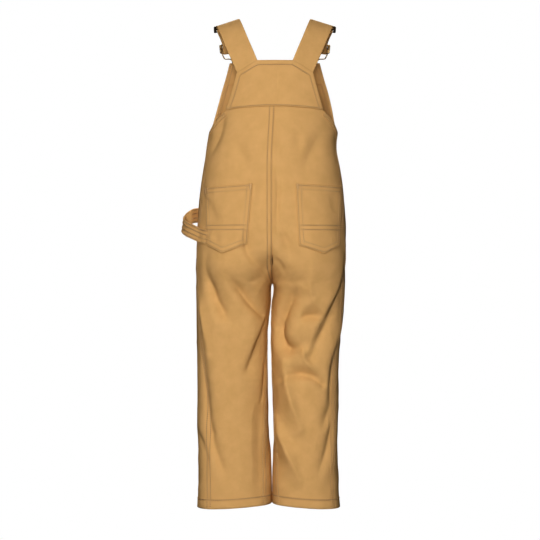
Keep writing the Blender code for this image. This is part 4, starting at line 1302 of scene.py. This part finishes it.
def ribbon(
    name: str,
    path: Array,
    width: Array,
    normal: Array,
    broad: float,
    wall: float,
    columns: int,
    relief: Callable[[Array], Array],
    marks: Callable[[Array], Array] | None = None,
) -> bpy.types.Object:
    """A flat band of doubled cloth along a path, its long edges folded round.

    Args:
        name: The object's name.
        path: Centre line.
        width: Direction across, at each point of the path.
        normal: Outward direction at each point of the path.
        broad: Width of the band.
        wall: Thickness of the band.
        columns: Points across.
        relief: Outward displacement as a function of place.
        marks: Seam coordinate as a function of place.

    Returns:
        The new object.
    """
    across = -np.cos(np.linspace(0, np.pi, columns)) * 0.5
    flat = path[:, None] + across[None, :, None] * broad * width[:, None]
    edge = np.sqrt(np.clip(1 - (2 * np.abs(across)) ** RIBBON_POWER, 0, 1))
    half = wall / 2 * (RIBBON_EDGE + (1 - RIBBON_EDGE) * edge)[None, :, None]
    flat = flat + normal[:, None] * relief(flat)[..., None]
    sewn = marks(flat) if marks else None
    return shell(name, flat + normal[:, None] * half, flat - normal[:, None] * half, sewn, 0.3)


@dataclass
class Strap:
    """One ribbon over the shoulder, through the slider, round the buckle's bar and back up."""

    side: Side
    width: float = 39 * MM
    wall: float = 2 * MM
    pitch: float = 2.4 * MM
    tuck: float = 7 * MM
    tuck_under: float = 1.9 * MM
    plain: int = 16
    columns: int = 34

    def path(self) -> tuple[Array, Array]:
        """Centre line and width direction at closely spaced points."""
        course = StrapCourse(self.side)
        start = course.at_row(SLIDER_ROW) + THREAD[0][1][0][0] * MM
        plain = [(d, 0.0) for d in np.linspace(0, start, self.plain)[:-1]]
        thread = [
            (course.at_row(row) + along * MM, out * MM) for row, steps in THREAD for along, out in steps
        ]
        distance, offset = np.array(plain + thread).T
        centre, width, forward, out = course.frame(distance)
        knots = centre + out * offset[:, None]
        tucked = knots[:1] - forward[:1] * self.tuck - out[:1] * self.tuck_under
        knots, width = np.concatenate([tucked, knots]), np.concatenate([width[:1], width])
        length = run_lengths(knots)
        even = np.arange(0, length[-1], self.pitch)
        bends = length[self.plain + 1:][None, :] + np.array([-0.8, 0.8])[:, None] * MM
        even = np.unique(np.clip(np.concatenate([even, bends.ravel(), length[-1:]]), 0, length[-1]))
        even = even[np.concatenate([[True], np.diff(even) > 0.3 * MM])]
        return read_line(even, length, knots, smooth), unit(read_line(even, length, width))

    def build(self) -> bpy.types.Object:
        """The ribbon, softly uneven."""
        path, across = self.path()
        along = unit(np.gradient(path, axis=0))
        normal = unit(np.cross(along, across)) * self.side.value

        def soft(where: Array) -> Array:
            """A slight unevenness."""
            return 0.25 * MM * FORM.large(where, (0.03, 0.03, 0.022))

        def under_yoke_shadow(where: Array) -> Array:
            """Seam coordinate: a dent and a painted shadow along the line where the ribbon goes under the
            yoke's edge.
            """
            x, z = where[..., 0] - FORM.at("lean", where[..., 2]), where[..., 2]
            return LAST_MARK + np.where(where[..., 1] > 0, np.abs(z - yoke_top(x)) * 0.85, 22 * MM)

        name = f"strap_{self.side.word}_cloth"
        size = self.width, self.wall, self.columns
        return ribbon(name, path, across, normal, *size, soft, under_yoke_shadow)


@dataclass
class Plate:
    """A flat brass fitting with holes and rounded edges, lying in the strap's plane."""

    kind: str
    side: Side
    row: float
    halves: tuple
    outboard: float = 0.0
    thickness: float = 1.4 * MM
    bevel: float = 0.45 * MM
    cuts: tuple[float, float] = (0.2, 0.25)
    cut_limit: float = 0.9 * MM
    same_place: float = 2e-3 * MM
    sharp: float = 0.7

    def outline(self, half: Sequence[tuple[float, float]]) -> Array:
        """A whole outline from its half, its corners rounded twice by cutting them."""
        points = list(half) + [(-x, y) for x, y in reversed(half) if x > 0]
        loop = np.array(points, float) * MM
        for share in self.cuts:
            ahead = np.roll(loop, -1, axis=0)
            reach = np.linalg.norm(ahead - loop, axis=1, keepdims=True)
            cut = np.minimum(share, self.cut_limit / np.maximum(reach, 1e-9))
            inset = cut * (ahead - loop)
            loop = np.stack([loop + inset, ahead - inset], axis=1).reshape(-1, 2)
        return loop

    def build(self) -> bpy.types.Object:
        """The fitting, from filled outlines with a rounded rim."""
        curve = bpy.data.curves.new(self.kind, "CURVE")
        curve.dimensions, curve.fill_mode = "2D", "BOTH"
        curve.extrude = self.thickness / 2 - self.bevel
        curve.bevel_depth, curve.bevel_resolution, curve.offset = self.bevel, 2, -self.bevel
        for number, half in enumerate(self.halves):
            loop = self.outline(half) + np.array([0 if number else self.outboard, 0])
            spline = curve.splines.new("POLY")
            spline.points.add(len(loop) - 1)
            spline.use_cyclic_u = True
            for point, (x, y) in zip(spline.points, loop):
                point.co = (x, y, 0, 1)
        holder = linked(bpy.data.objects.new(self.kind, curve))
        graph = bpy.context.evaluated_depsgraph_get()
        mesh = bpy.data.meshes.new_from_object(holder.evaluated_get(graph))
        bpy.data.objects.remove(holder, do_unlink=True)
        flat = np.array([vertex.co for vertex in mesh.vertices])
        rounded = np.round(flat / self.same_place)
        _, first, back = np.unique(rounded, axis=0, return_index=True, return_inverse=True)
        back = back.ravel()
        course = StrapCourse(self.side)
        centre, width, forward, out = course.frame(course.at_row(self.row))
        flat = flat[first]
        points = centre + flat[:, :1] * width + flat[:, 1:2] * forward + flat[:, 2:] * out
        corners: dict[int, list[list[int]]] = {}
        for polygon in mesh.polygons:
            face = list(dict.fromkeys(int(back[i]) for i in polygon.vertices))
            if len(face) > 2:
                corners.setdefault(len(face), []).append(face)
        name = f"{self.kind}_{self.side.word}_brass"
        obj = new_piece(name, points, [np.array(part) for part in corners.values()])
        obj.data.set_sharp_from_angle(angle=self.sharp)
        return obj


SLIDER_HALVES = (
    ((0, -11.4), (21.4, -11.4), (23.0, -9.8), (23.0, 9.8), (21.4, 11.4), (0, 11.4)),
    ((0, -8.8), (19.9, -8.8), (19.9, -1.5), (0, -1.5)),
    ((0, 1.5), (19.9, 1.5), (19.9, 8.8), (0, 8.8)),
)
BUCKLE_HALVES = (
    (
        (0, -13.0), (23.6, -13.0), (25.0, -11.6), (25.0, 0.8), (23.6, 2.2), (21.8, 2.6),
        (21.6, 5.4), (19.4, 10.8), (17.6, 12.6), (8.2, 13.9), (5.6, 16.4), (5.3, 20.0),
        (5.3, 34.5), (4.6, 37.3), (2.7, 39.4), (0, 40.2),
    ),
    ((0, -10.6), (20.1, -10.6), (20.1, -1.4), (0, -1.4)),
    (
        (0, 1.4), (20.1, 1.4), (19.9, 5.0), (17.9, 9.8), (16.6, 11.0), (7.4, 12.3), (3.9, 15.8),
        (3.6, 20.0), (3.6, 34.5), (3.1, 36.4), (1.8, 37.9), (0, 38.5),
    ),
)


@dataclass
class Button:
    """A domed brass button on the bib, turned round its own axis."""

    side: Side
    at: tuple[float, float] = (64.5 * MM, -72 * MM)
    steps: int = 48
    profile: tuple[tuple[float, float], ...] = (
        (0.0, 0.0), (0.3, 3.9), (0.5, 4.3), (0.9, 4.3), (1.15, 3.2), (1.3, 2.4), (4.7, 2.4), (4.95, 3.2),
        (5.0, 7.2), (5.15, 7.9), (5.6, 8.2), (6.1, 8.2), (6.6, 7.9), (6.85, 7.4), (6.75, 6.8), (6.8, 6.4),
        (7.3, 5.2), (7.65, 3.6), (7.85, 1.8), (7.9, 0.0),
    )

    def build(self) -> bpy.types.Object:
        """The button, with a raised rim round its dome."""
        x, z = (np.asarray(value) for value in self.at)
        turn = FORM.turn_at(self.side, x, z, -1)
        centre = FORM.place(self.side, turn, z)
        axis = FORM.normal(self.side, turn, z)
        across = unit(np.cross(axis, [0, 0, 1]))
        up = np.cross(axis, across)
        angle = np.linspace(0, 2 * np.pi, self.steps, endpoint=False)[:, None]
        ring = np.cos(angle) * across + np.sin(angle) * up
        rings = [centre + axis * h * MM + ring * max(r, 0.02) * MM for h, r in self.profile]
        return sweep(f"bib_button_{self.side.word}_brass", np.stack(rings))


@dataclass
class HipLoop:
    """The work loop standing off the left hip, from under the pocket's edge round to the front."""

    width: float = 23.6 * MM
    wall: float = 2.0 * MM
    start: tuple[float, float] = (35.0, -354.5)
    middle: tuple[tuple[float, float, float], ...] = (
        (108.5, 53.0, -354), (118, 43.5, -351), (130, 35.5, -345.5), (142, 24.5, -339.5), (147.0, 13, -334),
        (143.5, 2, -326.4), (134, -5.5, -319.6),
    )
    end: tuple[float, float] = (-12.0, -316.0)
    lean: tuple[float, ...] = (0.0, 0.0, -0.02, -0.06, -0.12, -0.14, -0.06, 0.0, 0.0)
    columns: int = 40
    puckers: tuple[float, float] = (4.4 * MM, 1.0 * MM)
    unevenness: float = 0.9 * MM

    def build(self, thread: Thread) -> bpy.types.Object:
        """The loop with its rows of stitches and the puckers along them."""
        ends = [
            FORM.place(Side.LEFT, np.radians(turn), np.asarray(z * MM), np.asarray(lift))
            for (turn, z), lift in ((self.start, -0.9 * MM), (self.end, 1.6 * MM))
        ]
        knots = np.concatenate([ends[0][None], np.array(self.middle) * MM, ends[1][None]])
        length = run_lengths(knots)
        even = rows_between(0, length[-1], 1.1 * MM)
        path = read_line(even, length, knots, smooth)
        lean = smooth(even, length, self.lean)
        along = unit(np.gradient(path, axis=0))
        up = unit(np.stack([lean, 0 * lean, 1 + 0 * lean], axis=-1))
        normal = unit(np.cross(up, along))

        def soft(where: Array) -> Array:
            """Puckers between the rows and a soft unevenness."""
            height = np.linspace(-1, 1, where.shape[1])[None, :]
            rows = np.exp(-(((np.abs(height) - 0.62) / 0.22) ** 2))
            wave = np.sin(even[:, None] / self.puckers[0] * 2 * np.pi + 1.3 * height)
            wave = wave * (0.6 + 0.4 * PUCKER(where, (0.01, 0.01, 0.01)))
            free = eased((even - 4 * MM) / (10 * MM))[:, None]
            uneven = self.unevenness * FORM.small(where, (0.012, 0.012, 0.02))
            return free * (self.puckers[1] * rows * wave + uneven)

        for face, edge, inset in product((1, -1), (-1, 1), (2.0, 8.0)):
            offset = edge * (self.width / 2 - inset * MM)
            points = path + up * offset + normal * face * (self.wall / 2 + 0.1 * MM)
            thread.row(points, normal * face, (3, 2))
        size = self.width, self.wall, self.columns
        return ribbon("hip_loop_cloth", path, up, normal, *size, soft)


# Finishes


class Graph:
    """A short way to add nodes to a tree and join them."""

    def __init__(self, tree: bpy.types.NodeTree) -> None:
        """Work on this tree."""
        self.tree = tree

    def add(self, kind: str, values: dict | None = None, **settings: object) -> bpy.types.Node:
        """A node with its settings, and numbers or sockets for its inputs.

        Args:
            kind: The node's type name.
            values: Inputs by name or number; an output socket is joined, anything else is set.
            settings: Attributes of the node.

        Returns:
            The new node.
        """
        node = self.tree.nodes.new(kind)
        for key, value in settings.items():
            setattr(node, key, value)
        return self.fill(node, values or {})

    def fill(self, node: bpy.types.Node, values: dict) -> bpy.types.Node:
        """The same node, with these numbers or sockets for its inputs."""
        for key, value in values.items():
            if isinstance(value, bpy.types.NodeSocket):
                self.tree.links.new(value, node.inputs[key])
            else:
                node.inputs[key].default_value = value
        return node

    def math(self, operation: str, *inputs: object, clamp: bool = False) -> bpy.types.NodeSocket:
        """The output of a Math node over these inputs."""
        node = self.add("ShaderNodeMath", dict(enumerate(inputs)), operation=operation, use_clamp=clamp)
        return node.outputs[0]

    def mix(self, factor: object, first: object, second: object) -> bpy.types.NodeSocket:
        """A colour between two, by a factor."""
        node = self.add("ShaderNodeMix", {0: factor, 6: first, 7: second}, data_type="RGBA")
        return node.outputs[2]


def group(name: str, outputs: Sequence[str], inputs: dict[str, float]) -> tuple:
    """A new node group with its sockets, all of them plain numbers.

    Args:
        name: The group's name.
        outputs: Name of each output.
        inputs: Standing value of each input by its name.

    Returns:
        The graph of the group, its input node and its output node.
    """
    tree = bpy.data.node_groups.new(name, "ShaderNodeTree")
    for title in outputs:
        tree.interface.new_socket(title, in_out="OUTPUT", socket_type="NodeSocketFloat")
    for title, value in inputs.items():
        socket = tree.interface.new_socket(title, in_out="INPUT", socket_type="NodeSocketFloat")
        socket.default_value = value
    graph = Graph(tree)
    return graph, graph.add("NodeGroupInput"), graph.add("NodeGroupOutput")


def weave_group() -> bpy.types.NodeTree:
    """Steep twill ribs across the cloth coordinates, broken up by noise, with a soft mottle."""
    graph, inside, out = group("TwillWeave", ("Height", "Mottle", "Grain"), {"Pitch": 0.8})
    uv = graph.add("ShaderNodeUVMap", uv_map="Cloth").outputs[0]
    split = graph.add("ShaderNodeSeparateXYZ", {0: uv})

    def noise(scale: float, detail: float, roughness: float = 0.5) -> bpy.types.NodeSocket:
        """Noise over the cloth."""
        values = {"Vector": uv, "Scale": scale, "Detail": detail, "Roughness": roughness}
        return graph.add("ShaderNodeTexNoise", values).outputs[0]

    diagonal = graph.math("ADD", split.outputs[0], graph.math("MULTIPLY", split.outputs[1], 0.6))
    wobble = graph.math("MULTIPLY", noise(420.0, 2.0), 0.5)
    place = graph.math("ADD", graph.math("MULTIPLY", diagonal, 1000.0), wobble)
    angle = graph.math("DIVIDE", graph.math("MULTIPLY", place, 6.2832), inside.outputs[0])
    grain = noise(1500.0, 3.0, 0.7)
    height = graph.math("ADD", graph.math("MULTIPLY", graph.math("SINE", angle), 0.35), grain)
    graph.fill(out, {"Height": height, "Mottle": noise(45.0, 4.0, 0.6), "Grain": grain})
    return graph.tree


def seam_group() -> bpy.types.NodeTree:
    """Grooves along the rows of stitches, from the Seam attribute, for the dents and for the painted shade
    in them.
    """
    graph, _, out = group("SeamMarks", ("Groove",), {})
    seam = graph.add("ShaderNodeAttribute", attribute_name="Seam").outputs["Fac"]

    def bell(centre: float, width: float) -> bpy.types.NodeSocket:
        """A bell of the seam distance round one value."""
        away = graph.math("DIVIDE", graph.math("SUBTRACT", seam, centre), width)
        return graph.math("EXPONENT", graph.math("MULTIPLY", graph.math("MULTIPLY", away, away), -1.0))

    bells = (bell(mark, 0.8 * MM) for mark in (FIRST_MARK, LAST_MARK))
    graph.fill(out, {"Groove": graph.math("ADD", *bells, clamp=True)})
    return graph.tree


def new_material(name: str) -> tuple[bpy.types.Material, Graph, bpy.types.Node]:
    """An empty material with its graph and its Principled shader."""
    material = bpy.data.materials.new(name)
    material.use_nodes = True
    return material, Graph(material.node_tree), material.node_tree.nodes["Principled BSDF"]


@dataclass(frozen=True)
class Twill:
    """Stiff tan cotton twill."""

    name: str = "tan twill"
    light: tuple[float, float, float, float] = (0.715, 0.464, 0.214, 1)
    dark: tuple[float, float, float, float] = (0.655, 0.42, 0.184, 1)
    # seam is a darker tone, used for the random grain and for painted shade in the grooves along the
    # stitches
    seam: tuple[float, float, float, float] = (0.30, 0.165, 0.06, 1)
    roughness: float = 0.86
    shine: float = 0.03

    def make(self, weave: bpy.types.NodeTree, marks: bpy.types.NodeTree) -> bpy.types.Material:
        """The material, from the weave and the seam marks."""
        material, graph, shader = new_material(self.name)
        cloth = graph.add("ShaderNodeGroup", {}, node_tree=weave)
        seam = graph.add("ShaderNodeGroup", {}, node_tree=marks)
        spread = {"Value": cloth.outputs["Mottle"], "From Min": 0.3, "From Max": 0.7}
        mottle = graph.add("ShaderNodeMapRange", spread).outputs[0]
        grain = graph.math("SUBTRACT", cloth.outputs["Grain"], 0.35, clamp=True)
        tone = graph.mix(mottle, self.dark, self.light)
        tone = graph.mix(graph.math("MULTIPLY", grain, 0.5), tone, self.seam)
        # Painted shade: the cloth darkens in the grooves along the rows of stitches
        tone = graph.mix(graph.math("MULTIPLY", seam.outputs["Groove"], 0.3), tone, self.seam)
        ribs = {"Height": cloth.outputs["Height"], "Distance": 0.12 * MM, "Strength": 0.7}
        normal = graph.add("ShaderNodeBump", ribs).outputs[0]
        groove = graph.math("MULTIPLY", seam.outputs["Groove"], -1.0)
        dents = {"Height": groove, "Distance": 0.4 * MM, "Strength": 0.6, "Normal": normal}
        graph.fill(shader, {
            "Base Color": tone,
            "Normal": graph.add("ShaderNodeBump", dents).outputs[0],
            "Roughness": self.roughness,
            "Specular IOR Level": self.shine,
        })
        return material


@dataclass(frozen=True)
class Sewing:
    """Tan sewing thread, a little lighter and glossier than the cloth."""

    name: str = "tan thread"
    colour: tuple[float, float, float, float] = (0.80, 0.55, 0.30, 1)
    # Painted shade on each stitch's ends, where they dip into the cloth
    hole: tuple[float, float, float, float] = (0.11, 0.045, 0.012, 1)
    roughness: float = 0.6
    shine: float = 0.15

    def make(self) -> bpy.types.Material:
        """The material, with painted shade where each stitch dips into the cloth."""
        material, graph, shader = new_material(self.name)
        dip = graph.add("ShaderNodeAttribute", attribute_name="HoleShade").outputs["Fac"]
        graph.fill(shader, {
            "Base Color": graph.mix(graph.math("POWER", dip, 1.5), self.colour, self.hole),
            "Roughness": self.roughness,
            "Specular IOR Level": self.shine,
        })
        return material


@dataclass(frozen=True)
class Brass:
    """Antiqued brass: worn edges over a dark patina."""

    name: str = "antique brass"
    worn: tuple[float, float, float, float] = (0.64, 0.49, 0.27, 1)
    patina: tuple[float, float, float, float] = (0.10, 0.065, 0.03, 1)

    def make(self) -> bpy.types.Material:
        """The material."""
        material, graph, shader = new_material(self.name)
        where = graph.add("ShaderNodeTexCoord").outputs["Object"]
        noise = graph.add("ShaderNodeTexNoise", {"Vector": where, "Scale": 260.0, "Detail": 4.0}).outputs[0]
        share = graph.add("ShaderNodeMapRange", {"Value": noise, "From Min": 0.35, "From Max": 0.62})
        rough = graph.add("ShaderNodeMapRange", {"Value": noise, "To Min": 0.28, "To Max": 0.5})
        graph.fill(shader, {
            "Base Color": graph.mix(share.outputs[0], self.patina, self.worn),
            "Roughness": rough.outputs[0],
            "Metallic": 1.0,
        })
        return material


# Studio


@dataclass
class Studio:
    """White floor and backdrop, soft light and the camera."""

    lamp_watts: float = 188.0
    ambient: float = 0.04
    floor_tone: tuple[float, float, float, float] = (0.1, 0.1, 0.1, 1)
    gamma: float = 0.75
    lens: float = 104.42
    camera_at: tuple[float, float, float] = (0.0033, 2.6, -0.408)
    aim: tuple[float, float, float] = (0, 0, -0.42)
    lamps: tuple[tuple[str, tuple[float, float, float], float, float], ...] = (
        ("key", (0.3, 4.6, -0.35), 1.2, 1.0),
        ("high", (0.7, 3.6, 3.9), 1.4, 0.5),
        ("front", (0.3, -4.0, 2.4), 2.0, 1.6),
    )

    def floor(self) -> None:
        """A floor that looks pure white to the camera and lights the garment from below."""
        points = [(x, y, HEM - 2 * MM) for x, y in ((-6, -6), (6, -6), (6, 6), (-6, 6))]
        mesh = bpy.data.meshes.new("floor")
        mesh.from_pydata(points, [], [(0, 1, 2, 3)])
        obj = linked(bpy.data.objects.new("floor", mesh))
        material, graph, shader = new_material("white floor")
        graph.fill(shader, {"Base Color": self.floor_tone})
        glow = graph.add("ShaderNodeEmission", {"Color": (1, 1, 1, 1), "Strength": 1.0})
        seen = graph.add("ShaderNodeLightPath").outputs["Is Camera Ray"]
        both = graph.add("ShaderNodeMixShader", {0: seen, 1: shader.outputs[0], 2: glow.outputs[0]})
        graph.fill(material.node_tree.nodes["Material Output"], {0: both.outputs[0]})
        mesh.materials.append(material)

    def world(self) -> None:
        """White to the camera, and a soft ambient light otherwise."""
        world = bpy.data.worlds.new("studio")
        world.use_nodes = True
        bpy.context.scene.world = world
        graph = Graph(world.node_tree)
        seen = graph.add("ShaderNodeLightPath").outputs["Is Camera Ray"]
        strength = graph.add("ShaderNodeMapRange", {"Value": seen, "To Min": self.ambient, "To Max": 1.0})
        back = world.node_tree.nodes["Background"]
        graph.fill(back, {"Color": (1, 1, 1, 1), "Strength": strength.outputs[0]})

    def lamp(self, name: str, at: Sequence[float], size: float, share: float) -> None:
        """One square soft light, pointed at the garment's middle.

        Args:
            name: The lamp's name.
            at: Where it stands.
            size: Its side.
            share: Its power, as a share of the key lamp's.
        """
        light = bpy.data.lights.new(name, "AREA")
        light.size, light.energy = size, self.lamp_watts * share
        obj = linked(bpy.data.objects.new(name, light))
        obj.location = at
        obj.rotation_euler = (Vector(self.aim) - Vector(at)).to_track_quat("-Z", "Y").to_euler()

    def camera(self) -> None:
        """Level behind the wearer, 2.6 m away, as the photograph was taken."""
        camera = bpy.data.cameras.new("camera")
        camera.sensor_width, camera.lens = 36, self.lens
        camera.clip_start, camera.clip_end = 0.1, 30
        obj = linked(bpy.data.objects.new("camera", camera))
        obj.location = self.camera_at
        obj.rotation_euler = (np.pi / 2, 0, np.pi)
        bpy.context.scene.camera = obj

    def build(self) -> None:
        """The whole studio."""
        view = bpy.context.scene.view_settings
        view.view_transform, view.look, view.gamma = "Standard", "None", self.gamma
        self.floor()
        self.world()
        for lamp in self.lamps:
            self.lamp(*lamp)
        self.camera()


# The whole garment


class Garment:
    """Builds every piece, dresses it and hides the solid it stands for."""

    def __init__(self) -> None:
        """Make the finishes once."""
        self.twill = Twill().make(weave_group(), seam_group())
        self.sewing = Sewing().make()
        self.brass = Brass().make()
        # A darker copy of the same brass for the sliders, as painted shade
        self.shaded_brass = Brass("shaded brass", (0.17, 0.12, 0.065, 1), (0.02, 0.015, 0.01, 1)).make()

    def dress(
        self, piece: bpy.types.Object, node: str | None, material: bpy.types.Material
    ) -> None:
        """Give a piece its finish and its place in the frame.

        Args:
            piece: The piece.
            node: The solid it stands for, or None.
            material: Its finish.
        """
        piece.data.materials.clear()
        piece.data.materials.append(material)
        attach(piece, "root")
        if node:
            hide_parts(node)
        LOG.info("%s: %d points", piece.name, len(piece.data.vertices))

    def cloth(self, piece: bpy.types.Object, node: str) -> None:
        """Dress a cloth piece in the twill."""
        self.dress(piece, node, self.twill)

    def build(self) -> None:
        """All pieces, from the legs up."""
        thread, trim = Thread("stitches_panels"), Thread("stitches_trim")
        for side in Side:
            self.cloth(BackPanel(side).build(thread), f"back_panel_{side.word}")
            self.cloth(FrontPanel(side).build(thread), f"front_panel_{side.word}")
        self.cloth(Yoke().build(trim), "back_yoke")
        bib, facing = Bib().build(trim)
        self.cloth(bib, "front_bib")
        self.cloth(facing, "bib_facing")
        for side in Side:
            word = side.word
            self.cloth(Pocket(side).build(trim), f"back_pocket_{word}")
            self.cloth(Binding(side).build(trim), f"armhole_binding_{word}")
            self.cloth(Strap(side).build(), f"strap_{word}")
            slider = Plate("slider", side, SLIDER_ROW, SLIDER_HALVES, 1.1 * MM).build()
            buckle = Plate("buckle", side, BUCKLE_ROW, BUCKLE_HALVES).build()
            self.dress(slider, f"slider_{word}", self.shaded_brass)
            self.dress(buckle, f"buckle_{word}", self.brass)
            self.dress(Button(side).build(), f"bib_button_{word}", self.brass)
        self.cloth(HipLoop().build(trim), "hip_loop")
        for sewn in (thread, trim):
            self.dress(sewn.make(), None, self.sewing)


def main() -> None:
    """Build the garment and its studio."""
    logging.basicConfig(level=logging.INFO, format="%(message)s")
    Garment().build()
    Studio().build()


if __name__ == "__main__":
    main()
